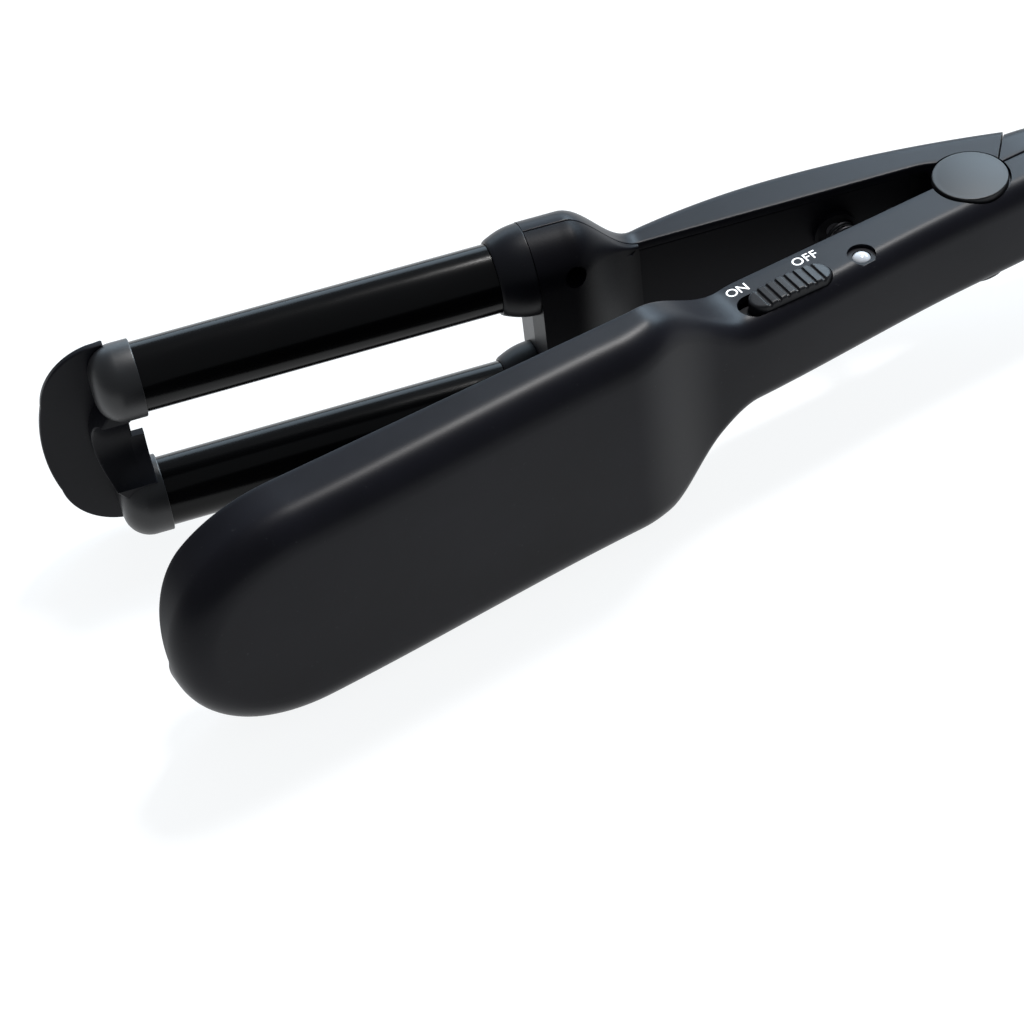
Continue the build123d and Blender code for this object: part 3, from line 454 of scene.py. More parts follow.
shellPlastic, coverPlastic, trimPlastic, capPlastic, tipCapPlastic, switchPlastic = (
    mouldedPlastic(name, look) for name, look in finishes.items())
barrelGlaze = glazedBarrel("barrelGlaze", glazeLook)
pinSteel = metal("pinSteel", (0.55, 0.55, 0.56), 0.28, (1, 1, 0.2))
springSteel = metal("springSteel", (0.03, 0.03, 0.033), 0.45)
screwSteel = metal("screwSteel", (0.09, 0.09, 0.10), 0.38)
aluminium = metal("aluminiumBar", (0.70, 0.70, 0.72), 0.36, (0.05, 1, 1))
ceramic = plainFine("heaterCeramic", (0.80, 0.78, 0.73), (0.70, 0.68, 0.63), 0.6)
# the letters' white ink, with a painted glow: its emission makes them shine brighter than the lamps alone
# light them
whiteInkPaintedGlow = plainFine("whiteInkPaintedGlow", (0.95, 0.95, 0.95), (0.90, 0.90, 0.90), 0.5, 1500, 0.1,
                     {"Emission Color": (1, 1, 1, 1), "Emission Strength": 0.25})
boardGreen = plainFine("boardGreen", (0.02, 0.10, 0.035), (0.03, 0.13, 0.05), 0.35)
chipBlack = plainFine("chipBlack", (0.02, 0.02, 0.02), (0.03, 0.03, 0.03), 0.5)
sleeveBlue = plainFine("sleeveBlue", (0.02, 0.03, 0.08), (0.03, 0.045, 0.11), 0.3)
lampRed = plainFine("lampRed", (0.40, 0.03, 0.02), (0.30, 0.02, 0.015), 0.15)
# the lens is pale and mostly opaque: its whitish tone is a painted highlight standing in for the shine on a
# clear lens
lensPaintedHighlight = plainFine("lensPaintedHighlight", (0.80, 0.84, 0.90), (0.66, 0.70, 0.76), 0.08, 500, 0.02,
                      {"Transmission Weight": 0.30, "IOR": 1.5})
print("materials ready")


# points over the lip, the side, the rounding and the face of a section
sectionSteps = {"lip": 4, "side": 6, "arc": 14, "face": 19}
sectionLook = {
    "lip": 0.5, "leastSide": 0.6, "cornerShare": 0.92, "lipShare": 0.3, "crownHalf": 9.0,
    "insetCorner": 0.6,
}


# section of a hollow shell, as shares of its sizes: y = low a0 + high a1 + corner a2 + lip a3 and
# z = height b0 + corner b1 + lip b2, from one rim over the outer face to the other rim
def sectionShares():
    a = np.linspace(0, math.pi / 2, sectionSteps["arc"])
    lip = np.linspace(0, math.pi / 2, sectionSteps["lip"])
    t = np.linspace(0, 1, sectionSteps["side"])[1:-1]
    f = np.linspace(1, -1, sectionSteps["face"])[1:-1]
    zero, one = np.zeros_like, np.ones_like
    half = [np.stack([one(lip), zero(lip), zero(lip), 1 - np.cos(lip), one(lip), zero(lip), np.sin(lip) - 1]),
            np.stack([1 - t, t, -t, 1 - t, one(t), zero(t), zero(t)]),
            np.stack([zero(a), one(a), np.sin(a) - 1, zero(a), one(a), np.cos(a) - 1, zero(a)])]
    half = np.concatenate(half, 1)
    back = half[:, ::-1] * np.array([1, 1, 1, 1, -1, -1, -1])[:, None]
    middle = np.stack([zero(f), one(f), zero(f), zero(f), f, -f, zero(f)])
    return np.concatenate([half, middle, back], 1)


shares = sectionShares()
lipEnd = sectionSteps["lip"]
sideEnd = lipEnd + sectionSteps["side"] - 2


def section(height, low, high, corner, inset, crown=0.0, lip=sectionLook["lip"]):
    # a skin drawn in by inset has a smaller corner and no lip; y falls by crown (z / half)^2 to the sides
    g = sectionLook
    corner = np.minimum(corner - g["insetCorner"] * inset, high - low - g["leastSide"])
    turned = np.minimum(corner, g["cornerShare"] * height)
    lip = np.minimum(lip if inset == 0 else 0.0, g["lipShare"] * turned)
    y = low * shares[0] + high * shares[1] + corner * shares[2] + lip * shares[3]
    z = height * shares[4] + turned * shares[5] + lip * shares[6]
    across = np.clip(np.abs(z) / np.maximum(height, g["crownHalf"]), 0, 1)
    outward = np.clip((y - low) / np.maximum(high - low, 1e-6), 0, 1)
    return y - crown * across ** 2 * outward, z


def hollow(outer, inner, zipped=False):
    # outer and inner grids joined at the two rims and at both ends; a zipped last row closes on itself
    rows, cols = outer.shape[:2]
    base = rows * cols
    faces = gridFaces(rows, cols) + gridFaces(rows, cols, offset=base)
    r, c = np.arange(rows - 1), np.arange(cols - 1)
    for edge in (0, cols - 1):
        a = r * cols + edge
        faces += np.stack([a, a + cols, base + a + cols, base + a], -1).tolist()
    for edge in ((0,) if zipped else (0, rows - 1)):
        a = edge * cols + c
        faces += np.stack([a, a + 1, base + a + 1, base + a], -1).tolist()
    return np.stack([outer, inner]), faces


nearArm = {
    "halfHeight": 31.2, "handleHalfHeight": 13.5, "wall": 2.2, "crown": 0.45, "rim": 9.3, "handleRim": -2.3,
    "depthNeck": 24.0, "depthTip": 27.4, "depthHinge": 13.2, "depthHandle": 16.0, "corner": 8.8,
    "handleCorner": 5.8, "hingeRim": (-8.0, 6.0), "handleDepth": (10.0, 80.0), "paddleDepthEnd": 215.6,
    "neck": (76.0, 108.0), "neckRim": (72.0, 110.0), "neckDepth": (88.0, 117.0), "tip": 244.22,
    "tipStart": 207.8, "tipPower": 2.14, "tipRimStart": 232.6, "tipSweep": 9.2, "roundBefore": 14.0,
    "outlineBefore": 40.0, "tipFlank": 10.0, "leastFlank": 0.8, "overRim": 0.1, "tail": 56.0,
    "tailHalfWidth": 9.8, "tailHalfHeight": 10.2, "tailCorner": 7.0, "tailWall": 3.0,
    "tailHeightEnd": -14.0, "tailDepthEnd": -8.0, "tailEdge": 0.8, "tailEndHalf": 9.0, "mouth": 6.55,
    "seam": (11.2, 2.3, 0.9265), "seamReach": 22.0, "smooth": 50.0, "tailRun": (-14.0, 12),
    "handleRun": (-10.0, 70.0, 22), "neckRun": (72.0, 120.0, 44), "paddleRun": (123.0, 24), "tipRun": 44,
}


def tipRise(s):
    # the rim rises by sweep (1 - sqrt(1 - p^2)), p being the share of the way to the tip
    n = nearArm
    p = np.clip((s - n["tipRimStart"]) / (n["tip"] - n["tipRimStart"]), 0, 1)
    return n["tipSweep"] * (1 - np.sqrt(1 - p ** 2))


def nearSizes(s):
    # half height, rim depth, outer depth and corner radius of the near arm at distances s
    n = nearArm
    height = mixed(n["handleHalfHeight"], n["halfHeight"], eased(s, *n["neck"]))
    height = mixed(n["tailHalfHeight"], height, eased(s, -n["tail"], n["tailHeightEnd"]))
    rim = mixed(n["handleRim"] * eased(s, *n["hingeRim"]), n["rim"], eased(s, *n["neckRim"])) + tipRise(s)
    handle = mixed(n["depthHinge"], n["depthHandle"], eased(s, *n["handleDepth"]))
    paddle = mixed(n["depthNeck"], n["depthTip"], eased(s, n["neckDepth"][1], n["paddleDepthEnd"]))
    depth = mixed(handle, paddle, eased(s, *n["neckDepth"]))
    tail = eased(s, -n["tail"], n["tailDepthEnd"])
    depth = mixed(n["tailHalfWidth"], depth, tail)
    corner = mixed(n["handleCorner"], n["corner"], eased(s, *n["neckDepth"]))
    return height, rim, depth, mixed(n["tailCorner"], corner, tail)


def tipHeight(s, full, inset):
    # height falls as (1 - p^k)^(1/k) of the share p of the way to the tip
    n = nearArm
    p = np.clip((s - n["tipStart"]) / (n["tip"] - inset - n["tipStart"]), 0, 1)
    return (full - inset) * (1 - p ** n["tipPower"]) ** (1 / n["tipPower"])


def nearLoops(s, inset, crown):
    # plain sections up to the tip; there the face and the sides follow the tip's own rounding
    n = nearArm
    height, rim, depth, corner = nearSizes(s)
    height = tipHeight(s, height, inset)
    depth = np.maximum(depth - inset, rim + n["leastFlank"])
    y, z = section(height, rim, depth, corner, inset, crown)
    tip = s[:, 0] > n["tipStart"] - n["roundBefore"]
    corner = np.minimum(corner - sectionLook["insetCorner"] * inset, depth - n["tipFlank"])
    face = slice(sideEnd, -sideEnd)
    y[tip, face] = tipRounding(s[tip], z[tip, face], rim[tip], depth[tip], corner[tip], inset, crown)
    for side, first in ((slice(lipEnd, sideEnd), sideEnd), (slice(-sideEnd, -lipEnd), -sideEnd - 1)):
        y[tip, side] = mixed(rim[tip], y[tip, first][:, None], shares[1, side])
    return np.stack([np.broadcast_to(-s, y.shape), -y, z], -1)


def tipRounding(s, z, rim, depth, corner, inset, crown):
    # y = depth - R + sqrt(R^2 - (R - e)^2), e being the distance to the tip's outline; not below the rim
    n = nearArm
    reach = n["tip"] - inset - n["tipStart"]
    along = np.concatenate([np.linspace(n["tipStart"] - n["outlineBefore"], n["tipStart"], 60),
                            n["tipStart"] + reach * np.sin(np.linspace(0.01, math.pi / 2, 240))])
    outline = np.stack([along, tipHeight(along, n["halfHeight"], inset)], -1)
    points = np.stack([np.broadcast_to(s, z.shape), np.abs(z)], -1)
    step = np.diff(outline, axis=0)
    away = points[:, :, None] - outline[:-1]
    share = np.clip(np.sum(away * step, -1) / np.sum(step * step, -1), 0, 1)
    e = np.clip(np.min(np.linalg.norm(away - share[..., None] * step, axis=-1), -1), 0, corner)
    y = depth - corner + np.sqrt(corner ** 2 - (corner - e) ** 2)
    outward = np.clip((y - rim) / (depth - rim), 0, 1)
    return np.maximum(y - crown * (z / n["halfHeight"]) ** 2 * outward, rim + n["overRim"])


def nearStations(first, last):
    # closer together in the neck; towards the tip they follow a sine
    n = nearArm
    paddle, count = n["paddleRun"]
    plain = [np.linspace(first, *n["tailRun"]), np.linspace(*n["handleRun"]), np.linspace(*n["neckRun"]),
             np.linspace(paddle, n["tipStart"], count)]
    tip = n["tipStart"] + (last - n["tipStart"]) * np.sin(np.linspace(0.03, math.pi / 2, n["tipRun"]))
    return np.concatenate(plain + [tip])[:, None]


def mouthLoop(x, side):
    # last loop of the tail: a half circle round the cord's inlet
    angle = np.linspace(math.pi / 2, -math.pi / 2, shares.shape[1])
    r = nearArm["mouth"]
    return np.stack([np.full(len(angle), x), side * r * np.cos(angle), r * np.sin(angle)], -1)


def tailEnd(loops, x, side, edge):
    # the end wall: the mouth, a loop drawn in by the edge's rounding, then the loops of the side
    pulled = loops[0].copy()
    pulled[:, 0] = x
    pulled[:, 1:] *= 1 - edge / nearArm["tailEndHalf"]
    loops = loops.copy()
    loops[0, :, 0] = x - edge
    return np.concatenate([mouthLoop(x, side)[None], pulled[None], loops])


def hingeRecess(low):
    # round seats for both hinge caps, from outside down to the level
    seat = circle(hingeCapLook["recess"], steps=128)
    return [plug(seat, low, cutEnd), plug(seat, -cutEnd, -low)]


def nearShell():
    n, k, lens = nearArm, knobLook, lensLook
    outer = nearLoops(nearStations(-n["tail"], n["tip"]), 0.0, n["crown"])
    inner = nearLoops(nearStations(n["tailWall"] - n["tail"], n["tip"] - n["wall"]), n["wall"], 0.0)
    outer = tailEnd(outer, n["tail"], -1, n["tailEdge"])
    inner = tailEnd(inner, n["tail"] - n["tailWall"], -1, 0.0)
    slot = stadium(k["length"] + k["travel"] + 2 * k["gap"], k["width"] + 2 * k["gap"],
                   (-k["at"] - k["travel"] / 2, -k["depth"]), 32)
    lampPlace = (-lens["at"], -lens["depth"])
    cuts = hingeRecess(hingeCapLook["low"]) + [
        plug(slot, cutStart, cutEnd),
        plug(circle(lens["recess"], lampPlace), n["handleHalfHeight"] - lens["recessDepth"], cutEnd),
        plug(circle(lens["radius"] + lens["gap"], lampPlace), cutStart, cutEnd)]
    addPiece("nearShell", [hollow(outer, inner, True)], "near_arm", shellPlastic,
             ["near_outer_shell"], smooth=n["smooth"], cuts=cuts)


innerCoverLook = {"rimGap": 0.3, "tipGap": 0.35, "flat": 1.0, "smooth": 30.0}


def innerCover():
    # the cover's own shape, its rim kept inside the shell's rim where that rises at the tip
    n, c = nearArm, innerCoverLook
    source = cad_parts["near_inner_cover"]
    mesh = source.data.copy()
    mesh.transform(source.matrix_world)
    points = np.empty(len(mesh.vertices) * 3)
    mesh.vertices.foreach_get("co", points)
    points = points.reshape(-1, 3) * 1000
    s = hingeX - points[:, 0]
    rise = n["rim"] + tipRise(s)
    near = s > n["tipRimStart"] + c["flat"]
    points[near, 1] = np.maximum(points[near, 1], -(rise[near] - c["rimGap"]))
    points[:, 0] = np.maximum(points[:, 0], hingeX - n["tip"] + c["tipGap"])
    mesh.vertices.foreach_set("co", (points * metres).ravel())
    tidyMesh(mesh, c["smooth"])
    piece = linked("innerCover", mesh)
    painted(mesh, coverPlastic)
    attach(piece, "near_arm")
    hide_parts("near_inner_cover")


farArm = {
    "halfHeight": 31.62, "handleHalfHeight": 13.5, "wall": 2.2, "crown": 0.4, "inner": 9.8,
    "rearInner": 4.0, "innerEase": (-12.0, 12.0), "neck": (87.0, 107.5), "partingNeck": (87.0, 104.0),
    "parting": 4.7, "partingGap": 0.1, "back": 16.7, "crest": (46.0, 23.3), "fallHinge": (6.3, 61.0),
    "fallNeck": (5.2, 42.5), "backNeck": (84.0, 104.0), "corner": 11.6, "handleCorner": 4.5,
    "holderFace": 118.4, "recessGap": 0.2, "wallHeight": 0.9, "seam": (9.79, 4.66, 0.5695),
    "seamReach": 22.0, "rearRun": (-14.0, 16), "handleRun": (-18.0, -84.0, 26), "holderRun": (-85.5, 30),
}


def farSizes(s):
    # half height, rim depth, outer depth and corner radius; the back falls off a crest by parabolas
    f = farArm
    height = mixed(f["handleHalfHeight"], f["halfHeight"], eased(s, *f["neck"]))
    handle = mixed(f["rearInner"], f["inner"], eased(s, *f["innerEase"]))
    rim = mixed(handle, f["parting"], eased(s, *f["partingNeck"]))
    crest, full = f["crest"]
    before = full - f["fallHinge"][0] * ((crest - s) / f["fallHinge"][1]) ** 2
    after = full - f["fallNeck"][0] * ((s - crest) / f["fallNeck"][1]) ** 2
    back = mixed(np.where(s < crest, before, after), f["back"], eased(s, *f["backNeck"]))
    corner = mixed(f["handleCorner"], f["corner"], eased(s, *f["neck"]))
    return height, rim, back, corner


def seamX(y, seam):
    # the seam between the far arm and the tail cover leans with y
    start, level, slope = seam
    return start + slope * (y - level)


def leaning(plainX, arm, sizes, inset, crown):
    # x of each point slides onto the seam over the last "reach" millimetres; three passes settle s
    seam = arm["seam"]
    start = plainX[0]
    share = np.clip(1 - np.abs(plainX - start) / arm["seamReach"], 0, 1)[:, None]
    x = np.repeat(plainX[:, None], shares.shape[1], 1)
    for _ in range(3):
        height, rim, back, corner = sizes(-x)
        y, z = section(height - inset, rim, back - inset, corner, inset, crown)
        x = plainX[:, None] + share * (seamX(y, seam) - start)
    return np.stack([x, y, z], -1)


def endWall(loops, x, rim):
    # closes the holder's face: the last loop is drawn straight onto the parting plane
    wall = loops[-1].copy()
    wall[:, 0] = x
    wall[:, 1] = rim
    wall[:, 2] *= farArm["wallHeight"]
    return np.concatenate([loops, wall[None]])


def farShell():
    f = farArm
    holder, count = f["holderRun"]
    x = np.concatenate([np.linspace(f["seam"][0], *f["rearRun"]), np.linspace(*f["handleRun"]),
                        np.linspace(holder, -f["holderFace"], count)])
    outer = leaning(x, f, farSizes, 0.0, f["crown"])
    xIn = x.copy()
    xIn[-1] += f["wall"]
    xIn[-2] = (xIn[-1] + xIn[-3]) / 2
    inner = leaning(xIn, f, farSizes, f["wall"], 0.0)
    outer = endWall(outer, -f["holderFace"], f["parting"])
    inner = endWall(inner, f["wall"] - f["holderFace"], f["parting"])
    addPiece("farShell", [hollow(outer, inner)], "far_arm", shellPlastic,
             ["far_outer_shell"], openUp, cuts=hingeRecess(hingeCapLook["low"] - f["recessGap"]))


earLook = {
    "inner": 6.2, "outer": 10.6, "bore": 3.05, "radius": 8.5, "edge": 0.4, "half": 6.0, "arm": (4.0, 18.4),
    "armEdge": 0.3,
}


def farEars():
    e = earLook
    levels = ((e["inner"], e["outer"]), (-e["outer"], -e["inner"]))
    ears = [spun(ringSection(low, high, e["bore"], e["radius"], e["edge"]), axis="z", steps=72)
            for low, high in levels]
    arms = [slab(boxOutline(e["half"], *e["arm"], e["edge"]), low, high, e["armEdge"], "z")
            for low, high in levels]
    addPiece("farHingeEars", ears + arms, "far_arm", trimPlastic, place=openUp)


tailLook = {
    "stations": 30, "screwAt": 36.0, "hole": 2.15, "holeFrom": 6.5, "bossFrom": 4.9, "bossTo": 9.0,
    "boss": 3.4, "bossEdge": 0.3,
}


def tailSizes(s):
    height, rim, depth, corner = nearSizes(s)
    return height, np.full_like(rim, farArm["partingGap"]), depth, corner


def tailCover():
    n, g = nearArm, tailLook
    loops = []
    for inset, crown, end, edge in ((0.0, n["crown"], n["tail"], n["tailEdge"]),
                                    (n["wall"], 0.0, n["tail"] - n["tailWall"], 0.0)):
        body = leaning(np.linspace(n["seam"][0], end, g["stations"]), n, tailSizes, inset, crown)
        loops.append(tailEnd(body[::-1], end, 1, edge))
    screw = (g["screwAt"], 0)
    boss = spun(ringSection(g["bossFrom"], g["bossTo"], axisGap, g["boss"], g["bossEdge"]), screw, "y", 48)
    cuts = [plug(circle(hingeCapLook["recess"], steps=128), -cutEnd, cutEnd),
            plug(circle(g["hole"], screw, 48), g["holeFrom"], cutEnd, "y")]
    addPiece("tailCover", [hollow(*loops)], "near_arm", shellPlastic, ["tail_cover"],
             unions=[boss], cuts=cuts)


clampCover = {
    "rear": 87.6, "rearWall": 2.4, "rearEase": 12.0, "rearCorner": 0.6, "frontLow": 8.6, "front": -7.3,
    "slope": (86.0, 110.0), "corner": 11.6, "cornerSlope": (90.0, 112.0), "wall": 2.2, "leastWall": 0.35,
    "lip": 0.3, "stations": 44, "screw": (108.8, 22.3), "recess": 2.9, "recessFrom": -14.0, "floor": 1.0,
    "boss": 4.2, "bossTop": -4.6, "bossEnd": 2.6, "bossEdge": 0.3,
}


def clampSizes(s):
    c, f = clampCover, farArm
    height, parting = farSizes(s)[:2]
    front = mixed(c["frontLow"], c["front"], eased(s, *c["slope"]))
    corner = mixed(c["rearCorner"], c["corner"], eased(s, *c["cornerSlope"]))
    return height, f["partingGap"] - parting, -front, corner


def clampHalf():
    c, f = clampCover, farArm
    loops = []
    for inset, rear in ((0.0, c["rear"]), (c["wall"], c["rear"] + c["rearWall"])):
        end = f["holderFace"] - inset
        s = np.linspace(rear, end, c["stations"])[:, None]
        height, low, high, corner = clampSizes(s)
        thin = inset * eased(s, c["rear"], c["rear"] + c["rearEase"])
        high = np.maximum(high - thin, low + c["leastWall"])
        y, z = section(height - inset, low, high, corner, inset, lip=c["lip"])
        body = np.stack([np.broadcast_to(-s, y.shape), -y, z], -1)
        loops.append(endWall(body, -end, f["parting"] - f["partingGap"]))
    at, up = c["screw"]
    screws = [(-at, side * up) for side in (1, -1)]
    boss = ringSection(c["bossTop"], c["bossEnd"], axisGap, c["boss"], c["bossEdge"])
    bosses = [spun(boss, screw, "y", 48) for screw in screws]
    cuts = [plug(circle(c["recess"], screw, 48), c["recessFrom"], c["floor"], "y") for screw in screws]
    addPiece("clampHalf", [hollow(*loops)], "far_arm", coverPlastic, ["clamp_cover"],
             openUp, unions=bosses, cuts=cuts)


barrelLook = {
    "radius": 9.0, "wall": 1.2, "offset": 4.7, "half": 19.62, "rear": 112.9, "joint": 219.8, "socket": 6.0,
    "middleRear": 127.8, "edge": 0.25,
}
noseLook = {
    "rear": 118.4, "length": 9.2, "radius": 12.0, "inner": 9.05, "lip": 0.6, "bulge": 0.55, "edge": 0.3,
    "start": 0.04, "drop": 0.15,
}
endCapLook = {"radius": 10.0, "bore": 9.05, "length": 11.7, "skirt": 3.0, "round": 7.0, "edge": 0.35}


def barrels():
    b = barrelLook
    for name, side in (("upper", 1), ("lower", -1)):
        centre = (b["offset"], side * b["half"])
        long = tube(b["rear"], b["joint"] + b["socket"], centre)
        for label, shape, slotName, material, node in (
                ("BarrelTube", long, "glossy_black_barrel", barrelGlaze, "_barrel"),
                ("NoseRing", noseRing(centre), "matte_black_trim", trimPlastic, "_nose"),
                ("TipCap", tipCap(centre), "satin_black_cap", tipCapPlastic, "_end_cap")):
            addPiece(name + label, [shape], "far_arm", material, [name + node], openUp)
    addPiece("middleBarrelTube", [tube(b["middleRear"], b["joint"], (-b["offset"], 0))], "near_arm",
             barrelGlaze, ["middle_barrel"])


def tube(rear, tip, centre):
    b = barrelLook
    return spun(ringSection(-tip, -rear, b["radius"] - b["wall"], b["radius"], b["edge"]), centre, steps=160)


def noseRing(centre):
    # bell mouth: the outer line bows out by bulge sin(pi t) from the straight cone
    n = noseLook
    t = np.linspace(n["start"], 1, 20)
    x = -n["rear"] - n["length"] * t
    r = mixed(n["radius"], n["inner"] + n["lip"], t) + n["bulge"] * np.sin(math.pi * t)
    r[-1] -= n["drop"]
    start = rounded([(-n["rear"], n["inner"], 0), (-n["rear"], n["radius"], n["edge"]), (x[1], r[1], 0)])
    outer = np.stack([x, np.minimum(r, n["radius"])], -1)
    return spun(np.concatenate([start[:-1], outer[1:], [[x[-1], n["inner"]]]]), centre, steps=144)


def tipCap(centre):
    # a quarter circle of the cap's rounding closes the end
    c = endCapLook
    joint = -barrelLook["joint"]
    socket, end = joint - barrelLook["socket"], joint - c["length"]
    a = np.linspace(0, math.pi / 2, 18)
    dome = np.stack([end + c["round"] * (1 - np.sin(a)), c["radius"] - c["round"] * (1 - np.cos(a))], -1)
    skirt = joint - c["skirt"]
    rear = rounded([(joint, c["bore"], 0), (joint, c["radius"], c["edge"]), (skirt, c["radius"], 0)])
    outline = np.concatenate([[[socket, axisGap], [socket, c["bore"]]], rear, dome, [[end, axisGap]]])
    return spun(outline, centre, steps=144)


guardLook = {
    "plane": 9.0, "thickness": 2.0, "half": 28.9, "tip": 246.7, "shoulder": 230.0, "root": 226.0,
    "corner": (239.5, 24.3), "cornerEnd": (244.6, 14.2), "edge": 0.55,
}


def tipGuard():
    # shoulder arcs and a nose arc on a straight root
    g = guardLook
    corner, end = g["corner"], g["cornerEnd"]
    upper = arcThrough((-g["shoulder"], g["half"]), (-corner[0], corner[1]), (-end[0], end[1]), 24)
    nose = arcThrough((-end[0], end[1]), (-g["tip"], 0), (-end[0], -end[1]), 40)
    lower = upper[::-1] * np.array([1, -1])
    root = np.array([[-g["root"], -g["half"]], [-g["root"], g["half"]]])
    outline = np.concatenate([upper, nose[1:-1], lower, root])
    addPiece("tipGuardPlate", [slab(outline, g["plane"], g["plane"] + g["thickness"], g["edge"], "y", 7)],
             "far_arm", trimPlastic, ["tip_guard"], openUp)


saddleLook = {
    "rear": 224.3, "front": 234.6, "fall": 5.4, "fallPower": 2.4, "half": 14.2, "lowest": -1.0,
    "plane": 9.0, "hollow": 11.5, "edge": 0.7, "tabEnd": 221.2, "tabLevels": (-13.5, -0.6),
    "tabOverlap": 1.0, "tabStep": 0.1, "tabEdge": 0.5,
}


def saddleLoft(levels, rear, front, fall, lowest, edge):
    # loft over z of rounded rectangles: y starts at sqrt(hollow^2 - z^2) - offset, the front falls as |z|^k
    g = saddleLook
    loops = []
    for z in levels:
        low = max(lowest, math.sqrt(max(g["hollow"] ** 2 - z ** 2, 0.0)) - barrelLook["offset"])
        tip = -front + fall * (abs(z) / g["half"]) ** g["fallPower"]
        high = g["plane"]
        outline = rounded([(tip, low, edge), (-rear, low, edge), (-rear, high, 0), (tip, high, 0)])
        loops.append(np.column_stack([outline, np.full(len(outline), z)]))
    grid = np.stack(loops)
    return grid, closedFaces(*grid.shape[:2])


def tipSaddle():
    g = saddleLook
    body = saddleLoft(np.linspace(-g["half"], g["half"], 61), g["rear"], g["front"], g["fall"], g["lowest"],
                      g["edge"])
    tab = saddleLoft(np.linspace(*g["tabLevels"], 31), g["tabEnd"], g["rear"] + g["tabOverlap"], 0.0,
                     g["lowest"] + g["tabStep"], g["tabEdge"])
    addPiece("tipSaddle", [body, tab], "far_arm", trimPlastic, ["tip_bridge"], openUp)


hingeCapLook = {
    "radius": 9.95, "low": 12.1, "high": 14.4, "edge": 0.8, "recess": 10.6, "stem": 1.9, "stemLow": 11.15,
    "crown": 0.35,
}
drumLook = {
    "half": 6.0, "bore": 3.05, "radius": 9.3, "edge": 0.4, "web": (-12.4, -3.5), "webHalf": 5.9,
    "webEdge": 0.3,
}


def hingeCaps():
    # very flat crown: high - crown (r / radius)^2
    c = hingeCapLook
    t = np.linspace(1, 0, 12)
    top = np.stack([c["high"] - c["crown"] * t ** 2, axisGap + (c["radius"] - c["edge"] - axisGap) * t], -1)
    face = c["high"] - c["crown"]
    edge = rounded([(c["low"], c["radius"], 0), (face, c["radius"], c["edge"]), (*top[0], 0)], 9)
    stem = [[c["stemLow"], axisGap], [c["stemLow"], c["stem"]], [c["low"], c["stem"]]]
    outline = np.concatenate([stem, edge, top])
    for name, side in (("top", 1), ("bottom", -1)):
        addPiece(name + "HingeDisc", [spun(outline * np.array([side, 1]), axis="z", steps=144)], "near_arm",
                 capPlastic, [name + "_hinge_cap"])


def hingeDrum():
    d = drumLook
    drum = spun(ringSection(-d["half"], d["half"], d["bore"], d["radius"], d["edge"]), axis="z")
    web = slab(boxOutline(d["half"], *d["web"], d["edge"]), -d["webHalf"], d["webHalf"], d["webEdge"], "z")
    addPiece("hingeDrum", [drum, web], "near_arm", trimPlastic)


knobLook = {
    "at": 61.7, "depth": 8.2, "length": 23.7, "width": 7.6, "proud": 1.8, "travel": 3.0, "pitch": 2.7,
    "grooves": 7, "groove": 0.55, "ridge": (1.5, 0.1), "edge": 0.75, "edgeShare": 0.26, "innerShare": 0.70,
    "low": 10.4, "gap": 0.3, "crown": 128.0, "smooth": 50.0, "plateTop": 10.7, "plateThick": 1.2,
    "plateHalf": 3.4, "plateMargin": 4.2, "plateEdge": 0.3,
}


def switchKnob():
    # stadium loops drawn in step by step; z = top - edge fall - groove wave - x^2 / crown
    k = knobLook
    base = stadium(k["length"], k["width"], (0, 0), 36, 170)
    rim = 1 - k["edgeShare"] * (1 - np.cos(np.linspace(0, math.pi / 2, 9)))
    share = np.concatenate([rim, np.linspace(k["innerShare"], 0.0, 24)])
    drawn = (1 - share)[:, None] * k["width"] / 2
    half = k["length"] / 2 - k["width"] / 2
    spine = np.clip(base[None, :, 0], -half, half)
    x = spine + (base[None, :, 0] - spine) * share[:, None]
    y = base[None, :, 1] * share[:, None]
    fall = np.sqrt(np.clip(1 - (1 - np.clip(drawn / k["edge"], 0, 1)) ** 2, 0, 1))
    swell, cut = k["ridge"]
    groove = np.clip(np.cos(2 * math.pi * x / k["pitch"]) * swell - cut, 0, 1)
    inside = np.abs(x) < k["pitch"] * k["grooves"] / 2
    top = nearArm["handleHalfHeight"] + k["proud"]
    z = top - k["edge"] * (1 - fall) - k["groove"] * groove * inside - x ** 2 / k["crown"]
    wall = np.stack([base[:, 0], base[:, 1], np.full(len(base), k["low"])], -1)[None]
    grid = np.concatenate([wall, np.stack([x, y, z], -1)])
    grid[..., 0] -= k["at"]
    grid[..., 1] -= k["depth"]
    rows, cols = grid.shape[:2]
    faces = gridFaces(rows, cols, False, True) + [list(range(cols))]
    plate = slab(stadium(k["length"] + 2 * k["plateMargin"], 2 * k["plateHalf"], (-k["at"], -k["depth"])),
                 k["plateTop"] - k["plateThick"], k["plateTop"], k["plateEdge"], "z")
    addPiece("switchSlider", [(grid, faces), plate], "switch_slider", switchPlastic,
             ["switch_knob"], smooth=k["smooth"])


lensLook = {
    "at": 39.9, "depth": 8.1, "recess": 3.7, "recessDepth": 1.0, "radius": 2.4, "gap": 0.05, "flange": 2.9,
    "flangeThick": 1.0, "top": 13.2, "low": 10.3, "rise": 1.5,
}


def lampLens():
    # a quarter ellipse over the lens's radius and its rise
    g = lensLook
    a = np.linspace(0, math.pi / 2, 14)
    radius = np.maximum(g["radius"] * np.cos(a), axisGap)
    dome = np.stack([g["top"] - g["rise"] + g["rise"] * np.sin(a), radius], -1)
    step = g["low"] + g["flangeThick"]
    foot = [[g["low"], axisGap], [g["low"], g["flange"]], [step, g["flange"]], [step, g["radius"]]]
    addPiece("lensDome", [spun(np.concatenate([foot, dome]), (-g["at"], -g["depth"]), "z", 64)], "near_arm",
             lensPaintedHighlight, ["lamp_lens"])


